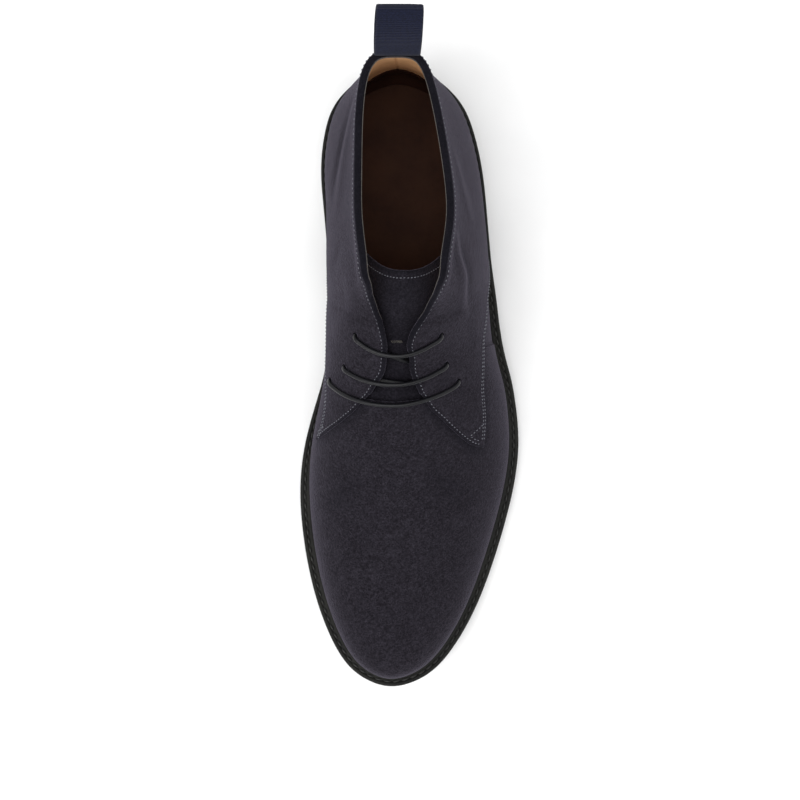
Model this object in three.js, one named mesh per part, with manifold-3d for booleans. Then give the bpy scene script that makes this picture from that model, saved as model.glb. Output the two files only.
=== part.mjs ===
// Chukka boot for the left foot, standing empty on its sole.
// Millimetres, +Z up, toe towards -Y, outer (lateral) side towards +X.
// A station is a distance from the back edge of the sole towards the toe, so y runs as -station
// until the whole boot is moved to its origin, under the centre of its box.

import * as THREE from 'three';
import { mergeVertices } from 'three/addons/utils/BufferGeometryUtils.js';
import Module from 'manifold-3d';

const wasm = await Module();
wasm.setup();

// ---- Driving dimensions ----
const GAP = 0.3; // between neighbouring pieces
const OUTSOLE_THICKNESS = 5;
const WELT_THICKNESS = 3;
const WALL = 2.4; // suede, stiffener and lining together
const HEEL_RISE = 21; // underside of the outsole above the ground, over the heel
const HEEL_BREAST = 74; // station of the heel's front face
const TOE_SPRING = 11;
const TREAD_FRONT = 223; // the forefoot lies on the ground between these two stations
const TREAD_BACK = 183;
const ARCH_BACK = 78; // the underside is level behind this station
const TOE_END = 303;
const TOE_SPRING_POWER = 1.8;
const FORE_REACH = 5.4; // sole edge beyond the upper at the forefoot
const HEEL_REACH = 3.4; // and at the heel
const REACH_BACK = 80;
const REACH_FRONT = 150;
const WELT_LAP = 0.2; // welt under and inside the upper's wall
const INSOLE_GAP = 1.0; // insole's edge inside the upper's wall
const INSOLE_THICKNESS = 4.7;
const SOLE_EDGE_TAPER = 0.8; // each side, from the top of the outsole to its underside
const HEEL_INSET_TOP = 0.8;
const HEEL_INSET_GROUND = 2.6;
const EYELET_RADIUS = 2.1;
const EYELET_DEPTH = 5; // each way from the outer face, enough to pass the wall
const EYELET_SIDES = 16;
const LACE_RADIUS = 1.1;
const LACE_SIDES = 8;
const LACE_BEND = 1.9; // radius of the lace's turns at the holes
const LACE_SLACK = 0.45; // between the lace and the curved faces that it crosses
const LACE_OVER = LACE_RADIUS + LACE_SLACK; // lace's centre above the outer face
const LACE_UNDER = -(WALL + LACE_SLACK + LACE_RADIUS); // and below it
const TONGUE_THICKNESS = 1.8;
const TONGUE_GAP = 0.5; // under the vamp's inner face
const TONGUE_DEPTH_FRONT = -(WALL + TONGUE_GAP); // tongue's outer face below the upper's, at the vamp
const TONGUE_DEPTH = LACE_UNDER - LACE_RADIUS - LACE_SLACK; // and under the lacing
const TONGUE_SINK = [7.4, 8.1]; // ribs between which it goes down
const TONGUE_RIBS = [6.6, 12.6];
const TONGUE_SPREAD = 0.4; // share of each rib that the tongue covers, from the ridge
const TAPE_THICKNESS = 1.5;
const TAPE_WIDTH = 20.4;
const TAPE_MIDDLE = -2; // its middle across the boot
const LOOP_BASE = [10.2, 1.6]; // station of the loop's foot, and its height above the collar
const LOOP_TIP = [-6.6, 22.8];
const LOOP_BULGE = 3.7; // half the finger gap at its widest

// ---- The last, as ribs ----
// Each rib rises from the sole's edge to the top line. Rib 0 is the toe, the last is the back of
// the heel. Columns: station, and medial and lateral half of the sole's edge; top of the rib as
// station, height, middle and half opening; height of the lower handle and its outward bulge on
// either side; sideways length of the upper handle on either side, its drop, and how much it fans
// out along the sole's outward direction.
const COLUMNS = ['station', 'medial', 'lateral', 'topStation', 'topHeight', 'middle', 'opening',
  'lift', 'bulgeMedial', 'bulgeLateral', 'crownMedial', 'crownLateral', 'drop', 'fan'];
const RIBS = {
  toe: [303.0, -5.0, -5.0, 279, 46.0, -5.0, 0, 20, 4.0, 4.0, 11, 11, 0, 1.0],
  toeRound: [299.8, -17.2, 8.0, 277, 46.5, -5.0, 0, 20, 4.0, 4.0, 12, 12, 0, 1.0],
  toeSide: [290.0, -28.9, 20.8, 270, 48.0, -5.2, 0, 20, 4.0, 4.5, 15, 15, 0, 0.9],
  toeBack: [270.0, -39.2, 34.0, 256, 50.5, -5.4, 0, 20, 4.0, 5.0, 20, 20, 0, 0.5],
  vampFront: [244.0, -46.6, 44.8, 236, 55.0, -5.6, 0, 22, 4.0, 5.0, 23, 23, 0, 0.2],
  ball: [213.0, -50.4, 53.8, 210, 62.5, -5.4, 0, 26, 4.5, 5.5, 25, 25, 0, 0],
  vampBack: [185.0, -48.2, 57.8, 186, 72.0, -4.6, 0, 30, 8.0, 6.5, 26, 25, 0, 0],
  throat: [162.0, -42.0, 55.9, 166, 82.0, -3.4, 0, 36, 11.0, 8.0, 27, 22, 0, 0],
  wing: [150.0, -38.6, 53.4, 159, 87.0, -2.8, 0, 38, 13.0, 8.0, 28, 20, 0, 0],
  lowLace: [139.0, -36.8, 50.4, 151, 93.0, -2.2, 0, 41, 14.0, 7.5, 27, 19, 0, 0],
  midLace: [126.0, -36.0, 47.9, 140, 102.5, -1.8, 0, 44, 13.5, 7.0, 25, 18, 0, 0],
  topLace: [112.0, -35.8, 46.0, 127, 114.0, -0.2, 0, 44, 12.0, 6.5, 22, 18, 0, 0],
  facing: [98.0, -36.0, 43.9, 113, 123.0, 0.5, 14.8, 42, 10.0, 6.0, 12, 11, 14, 0.3],
  facingTop: [84.0, -36.8, 42.4, 100, 126.5, 0.9, 19.4, 39, 8.0, 6.0, 7, 7, 22, 0.6],
  ankleFront: [68.0, -38.2, 41.0, 82, 121.0, 1.1, 21.0, 34, 5.5, 5.5, 4, 4, 26, 1.0],
  ankle: [50.0, -39.3, 38.9, 59, 116.5, 0.3, 20.6, 30, 4.5, 4.5, 3, 3, 28, 1.0],
  ankleBack: [30.5, -37.0, 34.3, 28, 119.0, -1.9, 17.2, 24, 4.0, 4.0, 0, 0, 34, 1.0],
  heelSide: [12.5, -27.4, 23.8, 11.5, 125.0, -2.5, 10.6, 20, 3.0, 3.0, 0, 0, 40, 1.0],
  back: [0.0, -1.7, -1.7, 9, 126.5, -2.5, 0, 20, 3.0, 3.0, 0, 0, 40, 1.0],
};
const OPEN_FROM = 12; // first rib whose two sides part
const RIDGE_END = OPEN_FROM - 1;

// The tongue bridges the opening, so its own ribs go on closing: station and height of the ridge
const TONGUE_RIDGE = {
  facing: [114, 123.5],
  facingTop: [102, 131.5],
  ankleFront: [92, 138.0],
};
const TONGUE_CLOSED = { opening: 0, drop: 0, fan: 0, crownMedial: 20, crownLateral: 20 };

// Plan of the throat between the two facings: station, medial x and lateral x
const THROAT = [
  [160.5, -12.5, 6.5],
  [157.5, -14.2, 8.0],
  [154.5, -13.2, 7.0],
  [151.0, -9.0, 4.7],
  [143.0, -7.2, 4.1],
  [136.5, -7.0, 2.6],
  [131.0, -7.8, 4.2],
  [122.7, -9.6, 8.7],
  [114.5, -12.4, 12.8],
  [107.0, -14.0, 13.5],
];
const THROAT_HEIGHT = [60, 150];

// Eyelets from the top pair down: rib and rise along the rib, medial then lateral, and how far
// the bar between the pair bows towards the toe at the ridge, in ribs
const EYELETS = [
  { medial: [10.36, 0.707], lateral: [10.36, 0.700], bow: 0.44 },
  { medial: [9.06, 0.643], lateral: [9.22, 0.663], bow: 0.46 },
  { medial: [8.18, 0.503], lateral: [8.32, 0.597], bow: 1.03 },
];
const DIAGONAL_BOW = 0.25;
const HIDDEN_LACE_ASIDE = 0.09; // share of a rib between the hidden length and the eyelets
const LAST_END = [0.5, -0.06]; // ribs and rise from the top lateral eyelet to the lace's end
const HIDDEN_END = 0.8; // share of the way down to the lowest eyelet where the hidden length stops

// ---- Mesh resolution ----
const RIB_STEPS = 2; // columns of the upper per rib
const SOLE_STEPS = 3; // and of the sole pieces
const RISE_STEPS = 12;
const BAR_STEPS = 9;
const DIAGONAL_STEPS = 7;
const HIDDEN_STEPS = 4;
const TONGUE_STEPS = 3; // rows of the tongue per rib
const TONGUE_ACROSS = 12;
const LOOP_STEPS = 14;
const MERGE_TOLERANCE = 1e-4;
const SPLINE_PASSES = 30;
const NORMAL_STEP = 1e-3;

// ---- Finishes ----
const FINISHES = {
  suede: { color: '#302e36', roughness: 0.95, metalness: 0 },
  leather: { color: '#33231b', roughness: 0.6, metalness: 0 },
  rubber: { color: '#1b1b1b', roughness: 0.7, metalness: 0 },
  welt: { color: '#24241f', roughness: 0.65, metalness: 0 },
  lace: { color: '#2b2b2b', roughness: 0.6, metalness: 0 },
  webbing: { color: '#2b2e3f', roughness: 0.9, metalness: 0 },
};

// ---- Splines around the boot ----
const ribs = Object.entries(RIBS).map(([name, row]) => {
  const values = Object.fromEntries(COLUMNS.map((column, i) => [column, row[i]]));
  return { name, ...values };
});
const HALF = ribs.length - 1; // rib number at the back; a full turn runs out laterally, back medially
const TURN = 2 * HALF;

// Control values of the closed cubic spline that passes through the given values
function splineThrough(values) {
  const n = values.length;
  let controls = [...values];
  for (let pass = 0; pass < SPLINE_PASSES; pass += 1) {
    controls = controls.map((c, i) => {
      const before = controls[(i + n - 1) % n];
      const after = controls[(i + 1) % n];
      return c + values[i] - (before + 4 * c + after) / 6;
    });
  }
  return controls;
}

function spline(controls, turn) {
  const n = controls.length;
  const i = Math.floor(turn);
  const t = turn - i;
  const weights = [
    (1 - t) ** 3,
    3 * t ** 3 - 6 * t ** 2 + 4,
    -3 * t ** 3 + 3 * t ** 2 + 3 * t + 1,
    t ** 3,
  ];
  return weights.reduce((sum, w, k) => sum + (w / 6) * controls[(((i + k - 1) % n) + n) % n], 0);
}

function around(rows, lateral, medial = lateral) {
  const out = rows.map((row) => row[lateral]);
  const home = rows.map((row) => row[medial]).slice(1, -1).reverse();
  return splineThrough([...out, ...home]);
}

// Slope of the ridge, height over station, where the two sides still meet
function withSlope(rows) {
  const slope = (k) => (rows[k + 1].topHeight - rows[k - 1].topHeight)
    / (rows[k + 1].topStation - rows[k - 1].topStation);
  return rows.map((row, k) => ({ ...row, slope: k > RIDGE_END ? 0 : slope(Math.max(k, 1)) }));
}

function lastFrom(plainRows) {
  const rows = withSlope(plainRows);
  const last = {};
  for (const column of ['station', 'topStation', 'topHeight', 'middle', 'lift', 'drop', 'fan', 'slope']) {
    last[column] = around(rows, column);
  }
  last.edge = around(rows, 'lateral', 'medial');
  last.bulge = around(rows, 'bulgeLateral', 'bulgeMedial');
  last.crown = around(rows, 'crownLateral', 'crownMedial');
  const opening = rows.map((row) => row.opening);
  last.opening = splineThrough([...opening, ...opening.slice(1, -1).reverse().map((v) => -v)]);
  last.closedTo = rows.findLastIndex((row, k) => row.opening === 0 && k < HALF);
  return last;
}

const LAST = lastFrom(ribs);
const TONGUE_LAST = lastFrom(ribs.map((row) => {
  const ridge = TONGUE_RIDGE[row.name];
  return ridge ? { ...row, ...TONGUE_CLOSED, topStation: ridge[0], topHeight: ridge[1] } : row;
}));

// ---- Sole lines ----
const smooth = (t) => {
  const s = THREE.MathUtils.clamp(t, 0, 1);
  return s * s * (3 - 2 * s);
};

function underside(station) {
  const spring = Math.max(station - TREAD_FRONT, 0) / (TOE_END - TREAD_FRONT);
  const heel = smooth((TREAD_BACK - station) / (TREAD_BACK - ARCH_BACK));
  return TOE_SPRING * spring ** TOE_SPRING_POWER + HEEL_RISE * heel;
}

function reach(station) {
  const fore = smooth((station - REACH_BACK) / (REACH_FRONT - REACH_BACK));
  return HEEL_REACH + (FORE_REACH - HEEL_REACH) * fore;
}

// Point of the sole's edge moved inwards, with the outward direction in plan
function soleEdge(turn, inset) {
  const dx = spline(LAST.edge, turn + NORMAL_STEP) - spline(LAST.edge, turn - NORMAL_STEP);
  const ds = spline(LAST.station, turn + NORMAL_STEP) - spline(LAST.station, turn - NORMAL_STEP);
  const length = Math.hypot(dx, ds);
  const out = { x: -ds / length, station: dx / length };
  const station = spline(LAST.station, turn);
  const move = typeof inset === 'function' ? inset(station) : inset;
  return { x: spline(LAST.edge, turn) - out.x * move, station: station - out.station * move, out };
}

// ---- The upper's outer face ----
const SEAT = OUTSOLE_THICKNESS + WELT_THICKNESS + GAP; // upper's lower edge above the underside

function face(last, turn, rise) {
  const foot = soleEdge(turn, reach);
  const footHeight = underside(foot.station) + SEAT;
  const wrapped = ((turn % TURN) + TURN) % TURN;
  const rib = Math.min(wrapped, TURN - wrapped);
  const opening = rib <= last.closedTo ? 0 : spline(last.opening, turn);
  const topX = spline(last.middle, turn) + opening;
  const topStation = spline(last.topStation, turn);
  const topHeight = spline(last.topHeight, turn);
  const fan = spline(last.fan, turn);
  const length = Math.hypot(foot.out.x, foot.out.station * fan);
  const outX = foot.out.x / length;
  const outStation = (foot.out.station * fan) / length;
  const bulge = spline(last.bulge, turn);
  const crown = spline(last.crown, turn);
  const handleHeight = topHeight - spline(last.drop, turn) + spline(last.slope, turn) * outStation * crown;
  const lowHandleHeight = footHeight + spline(last.lift, turn);
  const points = [
    [foot.x, foot.station, footHeight],
    [foot.x + foot.out.x * bulge, foot.station + foot.out.station * bulge, lowHandleHeight],
    [topX + outX * crown, topStation + outStation * crown, handleHeight],
    [topX, topStation, topHeight],
  ];
  const rest = 1 - rise;
  const weights = [rest ** 3, 3 * rest ** 2 * rise, 3 * rest * rise ** 2, rise ** 3];
  const sum = (axis) => weights.reduce((total, w, k) => total + w * points[k][axis], 0);
  return new THREE.Vector3(sum(0), -sum(1), sum(2));
}

// Outer face moved along its outward normal
function skin(last, turn, rise, offset) {
  const inside = THREE.MathUtils.clamp(rise, NORMAL_STEP, 1 - NORMAL_STEP);
  const along = face(last, turn + NORMAL_STEP, inside).sub(face(last, turn - NORMAL_STEP, inside));
  const up = face(last, turn, inside + NORMAL_STEP).sub(face(last, turn, inside - NORMAL_STEP));
  const normal = along.cross(up).normalize();
  return face(last, turn, rise).addScaledVector(normal, offset);
}

// The same by rib number and side; the ridge is always taken from the lateral side
function onSide(last, side, rib, rise, offset) {
  const medial = side < 0 && !(rise === 1 && rib <= last.closedTo);
  return skin(last, medial ? TURN - rib : rib, rise, offset);
}

// ---- Closed bodies ----
function body(triangles) {
  const positions = triangles.flat().flatMap((p) => [p.x, p.y, p.z]);
  const geometry = new THREE.BufferGeometry();
  geometry.setAttribute('position', new THREE.Float32BufferAttribute(positions, 3));
  const merged = mergeVertices(geometry, MERGE_TOLERANCE);
  const index = [...merged.index.array];
  const kept = [];
  for (let i = 0; i < index.length; i += 3) {
    const [a, b, c] = index.slice(i, i + 3);
    if (a !== b && b !== c && c !== a) kept.push(a, b, c);
  }
  merged.setIndex(kept);
  return volume(merged) < 0 ? turnedOut(merged) : merged;
}

function volume(geometry) {
  const at = geometry.getAttribute('position');
  const index = geometry.index.array;
  const corner = (i) => new THREE.Vector3().fromBufferAttribute(at, index[i]);
  let sum = 0;
  for (let i = 0; i < index.length; i += 3) sum += corner(i).dot(corner(i + 1).cross(corner(i + 2)));
  return sum / 6;
}

function turnedOut(geometry) {
  geometry.setIndex([...geometry.index.array].reverse());
  return geometry;
}

const quad = (a, b, c, d) => [[a, b, c], [a, c, d]];

// Two triangles for each cell of a grid of points
function sheet(rows) {
  const cells = [];
  for (let i = 0; i + 1 < rows.length; i += 1) {
    for (let j = 0; j + 1 < rows[i].length; j += 1) {
      cells.push(...quad(rows[i][j], rows[i][j + 1], rows[i + 1][j + 1], rows[i + 1][j]));
    }
  }
  return cells;
}

function toManifold(geometry) {
  const plain = geometry.clone();
  plain.deleteAttribute('normal');
  plain.deleteAttribute('uv');
  const merged = mergeVertices(plain, MERGE_TOLERANCE);
  return new wasm.Manifold(new wasm.Mesh({
    numProp: 3,
    vertProperties: Float32Array.from(merged.getAttribute('position').array),
    triVerts: Uint32Array.from(merged.index.array),
  }));
}

function fromManifold(solid) {
  const mesh = solid.getMesh();
  const geometry = new THREE.BufferGeometry();
  geometry.setAttribute('position', new THREE.Float32BufferAttribute(mesh.vertProperties, 3));
  geometry.setIndex([...mesh.triVerts]);
  return geometry;
}

// ---- Sole pieces ----
const turnsBy = (steps) => Array.from({ length: TURN * steps }, (_, i) => i / steps);

function edgePoint(turn, inset, height) {
  const p = soleEdge(turn, inset);
  const z = typeof height === 'function' ? height(p.station) : height;
  return new THREE.Vector3(p.x, -p.station, z);
}

const above = (height) => (station) => underside(station) + height;

// Plate between two levels, each with its own inset; its stations run over part or all of the sole
function plate(low, high, fromRib = 0) {
  const whole = turnsBy(SOLE_STEPS).filter((turn) => turn > fromRib && turn < HALF);
  const stations = [fromRib, ...whole, HALF];
  const level = ({ inset, height }) => ({
    lateral: stations.map((rib) => edgePoint(rib, inset, height)),
    medial: stations.map((rib) => edgePoint(TURN - rib, inset, height)),
  });
  const bottom = level(low);
  const top = level(high);
  const end = fromRib === 0 ? [] : quad(bottom.lateral[0], top.lateral[0], top.medial[0], bottom.medial[0]);
  for (const ring of [bottom, top]) {
    ring.medial[ring.medial.length - 1] = ring.lateral.at(-1);
    if (fromRib === 0) ring.medial[0] = ring.lateral[0];
  }
  return body([
    ...sheet([bottom.medial, bottom.lateral]),
    ...sheet([top.lateral, top.medial]),
    ...sheet([bottom.lateral, top.lateral]),
    ...sheet([top.medial, bottom.medial]),
    ...end,
  ]);
}

function outsole() {
  return plate(
    { inset: SOLE_EDGE_TAPER, height: above(0) },
    { inset: 0, height: above(OUTSOLE_THICKNESS) },
  );
}

function heel() {
  let low = 0;
  let high = HALF;
  for (let pass = 0; pass < SPLINE_PASSES; pass += 1) {
    const middle = (low + high) / 2;
    if (spline(LAST.station, middle) > HEEL_BREAST) low = middle;
    else high = middle;
  }
  return plate(
    { inset: HEEL_INSET_GROUND, height: 0 },
    { inset: HEEL_INSET_TOP, height: HEEL_RISE - GAP },
    high,
  );
}

function welt() {
  const inner = (station) => reach(station) + WALL + WELT_LAP;
  const bottom = above(OUTSOLE_THICKNESS + GAP);
  const top = above(OUTSOLE_THICKNESS + WELT_THICKNESS);
  const ring = [...turnsBy(SOLE_STEPS), 0].map((t) => {
    return [
      edgePoint(t, 0, bottom),
      edgePoint(t, 0, top),
      edgePoint(t, inner, top),
      edgePoint(t, inner, bottom),
      edgePoint(t, 0, bottom),
    ];
  });
  return body(sheet(ring));
}

function insole() {
  const inset = (station) => reach(station) + WALL + INSOLE_GAP;
  return plate(
    { inset, height: above(OUTSOLE_THICKNESS + GAP) },
    { inset, height: above(OUTSOLE_THICKNESS + GAP + INSOLE_THICKNESS) },
  );
}

// ---- Upper ----
function wallColumn(turn) {
  const rib = Math.min(turn, TURN - turn);
  const side = turn <= HALF ? 1 : -1;
  const rises = Array.from({ length: RISE_STEPS + 1 }, (_, j) => j / RISE_STEPS);
  const outer = rises.map((rise) => onSide(LAST, side, rib, rise, 0));
  const inner = rises.map((rise) => onSide(LAST, side, rib, rise, -WALL));
  inner[0] = edgePoint(turn, (station) => reach(station) + WALL, above(SEAT));
  return { outer, inner, open: rib > RIDGE_END };
}

function shell() {
  const columns = [...turnsBy(RIB_STEPS), 0].map(wallColumn);
  const triangles = [
    ...sheet(columns.map((column) => column.outer)),
    ...sheet(columns.map((column) => [...column.inner].reverse())),
  ];
  for (let i = 0; i + 1 < columns.length; i += 1) {
    const [here, next] = [columns[i], columns[i + 1]];
    triangles.push(...quad(here.inner[0], here.outer[0], next.outer[0], next.inner[0]));
    if (here.open || next.open) {
      triangles.push(...quad(here.outer.at(-1), here.inner.at(-1), next.inner.at(-1), next.outer.at(-1)));
    }
  }
  return body(triangles);
}

function throatCutter() {
  const medial = THROAT.map(([station, x]) => new THREE.Vector2(x, -station));
  const lateral = THROAT.map(([station, , x]) => new THREE.Vector2(x, -station));
  const [low, high] = THROAT_HEIGHT;
  const shape = new THREE.Shape([...medial, ...lateral.reverse()]);
  const cutter = new THREE.ExtrudeGeometry(shape, { depth: high - low, bevelEnabled: false });
  cutter.translate(0, 0, low);
  return cutter;
}

function eyeletCutter(side, [rib, rise]) {
  const outside = onSide(LAST, side, rib, rise, EYELET_DEPTH);
  const inside = onSide(LAST, side, rib, rise, -EYELET_DEPTH);
  const length = 2 * EYELET_DEPTH;
  const cutter = new THREE.CylinderGeometry(EYELET_RADIUS, EYELET_RADIUS, length, EYELET_SIDES);
  const axis = outside.clone().sub(inside).normalize();
  cutter.applyQuaternion(new THREE.Quaternion().setFromUnitVectors(new THREE.Vector3(0, 1, 0), axis));
  const middle = outside.add(inside).multiplyScalar(0.5);
  cutter.translate(middle.x, middle.y, middle.z);
  return cutter;
}

function upper() {
  const cutters = [throatCutter()];
  for (const pair of EYELETS) cutters.push(eyeletCutter(-1, pair.medial), eyeletCutter(1, pair.lateral));
  const cut = cutters.reduce((solid, cutter) => solid.subtract(toManifold(cutter)), toManifold(shell()));
  return fromManifold(cut);
}

// ---- Tongue ----
function tongue() {
  const [front, end] = TONGUE_RIBS;
  const [sinkFrom, sinkTo] = TONGUE_SINK;
  const steps = Math.round((end - front) * TONGUE_STEPS);
  const grid = (extra) => Array.from({ length: steps + 1 }, (_, i) => {
    const rib = front + ((end - front) * i) / steps;
    const sink = smooth((rib - sinkFrom) / (sinkTo - sinkFrom));
    const offset = THREE.MathUtils.lerp(TONGUE_DEPTH_FRONT, TONGUE_DEPTH, sink) - extra;
    return Array.from({ length: TONGUE_ACROSS + 1 }, (_, j) => {
      const w = (2 * j) / TONGUE_ACROSS - 1;
      return onSide(TONGUE_LAST, Math.sign(w) || 1, rib, 1 - Math.abs(w) * TONGUE_SPREAD, offset);
    });
  });
  const outer = grid(0);
  const inner = grid(TONGUE_THICKNESS);
  const column = (rows, j) => rows.map((row) => row.at(j));
  return body([
    ...sheet(outer),
    ...sheet([...inner].reverse()),
    ...sheet([column(outer, 0), column(inner, 0)]),
    ...sheet([column(inner, -1), column(outer, -1)]),
    ...sheet([inner[0], outer[0]]),
    ...sheet([outer.at(-1), inner.at(-1)]),
  ]);
}

// ---- Lace ----
// A curve with its steps at its own points, so that they are short at the holes
class Route extends THREE.CatmullRomCurve3 {
  getUtoTmapping(u) {
    return u;
  }
}

// Point on a line over the ridge from one eyelet to another; across runs from -1 to 1
function crossing(from, to, bow, across, offset) {
  const share = (across + 1) / 2;
  const rib = THREE.MathUtils.lerp(from[0], to[0], share) - bow * (1 - across * across);
  const rise = across < 0 ? from[1] : to[1];
  return onSide(LAST, Math.sign(across) || 1, rib, 1 - (1 - rise) * Math.abs(across), offset);
}

function crossingPoints(from, to, bow, offset, steps) {
  const points = [];
  for (let k = 1; k < steps; k += 1) points.push(crossing(from, to, bow, (2 * k) / steps - 1, offset));
  return points;
}

// Through a hole from outside to inside, between the directions the lace comes from and goes to
function throughHole(side, eyelet, outsideNeighbour, insideNeighbour) {
  const out = onSide(LAST, side, ...eyelet, LACE_OVER);
  const under = onSide(LAST, side, ...eyelet, LACE_UNDER);
  const axis = out.clone().sub(under).normalize();
  const heading = (neighbour, start) => {
    const direction = neighbour.clone().sub(start);
    return direction.addScaledVector(axis, -direction.dot(axis)).normalize();
  };
  const arc = (start, direction, sign) => [0, 0.5, 1].map((t) => {
    const angle = (t * Math.PI) / 2;
    return start.clone()
      .addScaledVector(direction, LACE_BEND * (1 - Math.sin(angle)))
      .addScaledVector(axis, -sign * LACE_BEND * (1 - Math.cos(angle)));
  });
  return [
    ...arc(out, heading(outsideNeighbour, out), 1),
    ...arc(under, heading(insideNeighbour, under), -1).reverse(),
  ];
}

function lace() {
  const [top, middle, low] = EYELETS;
  const bar = (pair) => crossingPoints(pair.medial, pair.lateral, pair.bow, LACE_OVER, BAR_STEPS);
  const under = (from, to) => (
    crossingPoints(from.medial, to.lateral, DIAGONAL_BOW, LACE_UNDER, DIAGONAL_STEPS)
  );
  const bars = { top: bar(top), middle: bar(middle), low: bar(low) };
  const topToMiddle = under(top, middle);
  const middleToLow = under(middle, low);
  // hidden length inside the medial facing, from beside the top eyelet down to the lowest one
  const hidden = Array.from({ length: HIDDEN_STEPS + 1 }, (_, k) => {
    const t = (HIDDEN_END * k) / HIDDEN_STEPS;
    const rib = THREE.MathUtils.lerp(top.medial[0], low.medial[0], t);
    const rise = THREE.MathUtils.lerp(top.medial[1], low.medial[1], t) - HIDDEN_LACE_ASIDE;
    return onSide(LAST, -1, rib, rise, LACE_UNDER);
  });
  const [endRib, endRise] = top.lateral.map((value, i) => value + LAST_END[i]);
  const lastEnd = onSide(LAST, 1, endRib, endRise, LACE_UNDER);
  const points = [
    ...hidden,
    ...throughHole(-1, low.medial, bars.low[0], hidden.at(-1)).reverse(),
    ...bars.low,
    ...throughHole(1, low.lateral, bars.low.at(-1), middleToLow.at(-1)),
    ...middleToLow.reverse(),
    ...throughHole(-1, middle.medial, bars.middle[0], middleToLow.at(-1)).reverse(),
    ...bars.middle,
    ...throughHole(1, middle.lateral, bars.middle.at(-1), topToMiddle.at(-1)),
    ...topToMiddle.reverse(),
    ...throughHole(-1, top.medial, bars.top[0], topToMiddle.at(-1)).reverse(),
    ...bars.top,
    ...throughHole(1, top.lateral, bars.top.at(-1), lastEnd),
    lastEnd,
  ];
  const section = new THREE.Shape();
  section.absarc(0, 0, LACE_RADIUS, 0, 2 * Math.PI);
  const route = new Route(points);
  return new THREE.ExtrudeGeometry(section, {
    steps: points.length - 1,
    curveSegments: LACE_SIDES / 2, // an arc is cut into twice as many
    extrudePath: route,
  });
}

// ---- Pull loop ----
// A tape folded at the tip, with a lens-shaped finger gap between its two layers
function pullLoop() {
  const collar = spline(LAST.topHeight, HALF);
  const foot = new THREE.Vector2(-LOOP_BASE[0], collar + LOOP_BASE[1]);
  const tip = new THREE.Vector2(-LOOP_TIP[0], collar + LOOP_TIP[1]);
  const axis = tip.clone().sub(foot);
  const across = new THREE.Vector2(-axis.y, axis.x).normalize();
  const at = (t, away) => foot.clone().addScaledVector(axis, t).addScaledVector(across, away);
  // both sides of a lens between two points of the axis, its halves moved apart
  const lens = (from, to, apart) => {
    const side = (sign) => Array.from({ length: LOOP_STEPS + 1 }, (_, i) => {
      const along = (2 * i) / LOOP_STEPS - 1;
      const away = LOOP_BULGE * (1 - along ** 2) + apart;
      return at(from + ((to - from) * i) / LOOP_STEPS, sign * away);
    });
    return [...side(-1), ...side(1).reverse()];
  };
  const end = TAPE_THICKNESS / axis.length();
  const shape = new THREE.Shape(lens(0, 1, TAPE_THICKNESS));
  const gap = lens(2 * end, 1 - end, 0);
  // the two sides share their end points, which the hole keeps once
  shape.holes.push(new THREE.Path([...gap.slice(0, LOOP_STEPS), ...gap.slice(LOOP_STEPS + 1, -1)]));
  const loop = new THREE.ExtrudeGeometry(shape, { depth: TAPE_WIDTH, bevelEnabled: false });
  // the drawing plane (y, z) stands across the boot and the depth runs along x
  loop.applyMatrix4(new THREE.Matrix4().makeBasis(
    new THREE.Vector3(0, 1, 0),
    new THREE.Vector3(0, 0, 1),
    new THREE.Vector3(1, 0, 0),
  ));
  loop.translate(TAPE_MIDDLE - TAPE_WIDTH / 2, 0, 0);
  return loop;
}

// ---- Assembly ----
const PIECES = {
  outsole: [outsole, 'rubber'],
  heel: [heel, 'rubber'],
  welt: [welt, 'welt'],
  insole: [insole, 'leather'],
  upper: [upper, 'suede'],
  tongue: [tongue, 'suede'],
  lace: [lace, 'lace'],
  pull_loop: [pullLoop, 'webbing'],
};

const boot = new THREE.Group();
for (const [name, [make, finish]] of Object.entries(PIECES)) {
  const mesh = new THREE.Mesh(make(), new THREE.MeshStandardMaterial(FINISHES[finish]));
  mesh.name = name;
  boot.add(mesh);
}
const box = new THREE.Box3().setFromObject(boot);
boot.position.set(-(box.min.x + box.max.x) / 2, -(box.min.y + box.max.y) / 2, -box.min.z);

const group = new THREE.Group();
group.add(boot);

export default group;
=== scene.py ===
"""Chukka boot for the left foot: suede, stitching, lining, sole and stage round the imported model.

Run as a script in Blender 4.5. Lengths in the tables are millimetres, in the boot's own frame:
x across (outer side positive), station from the back edge of the sole towards the toe, z up.
A turn is a place round the boot in rib numbers: 0 is the toe, HALF the back of the heel, and the
outer (lateral) side comes first. A rise runs from 0 at the sole to 1 at the top line.
"""
import functools
import math

import bmesh
import bpy
import numpy as np
from bpy.props import FloatProperty, FloatVectorProperty, PointerProperty
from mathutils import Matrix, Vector
from mathutils.kdtree import KDTree


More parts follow.
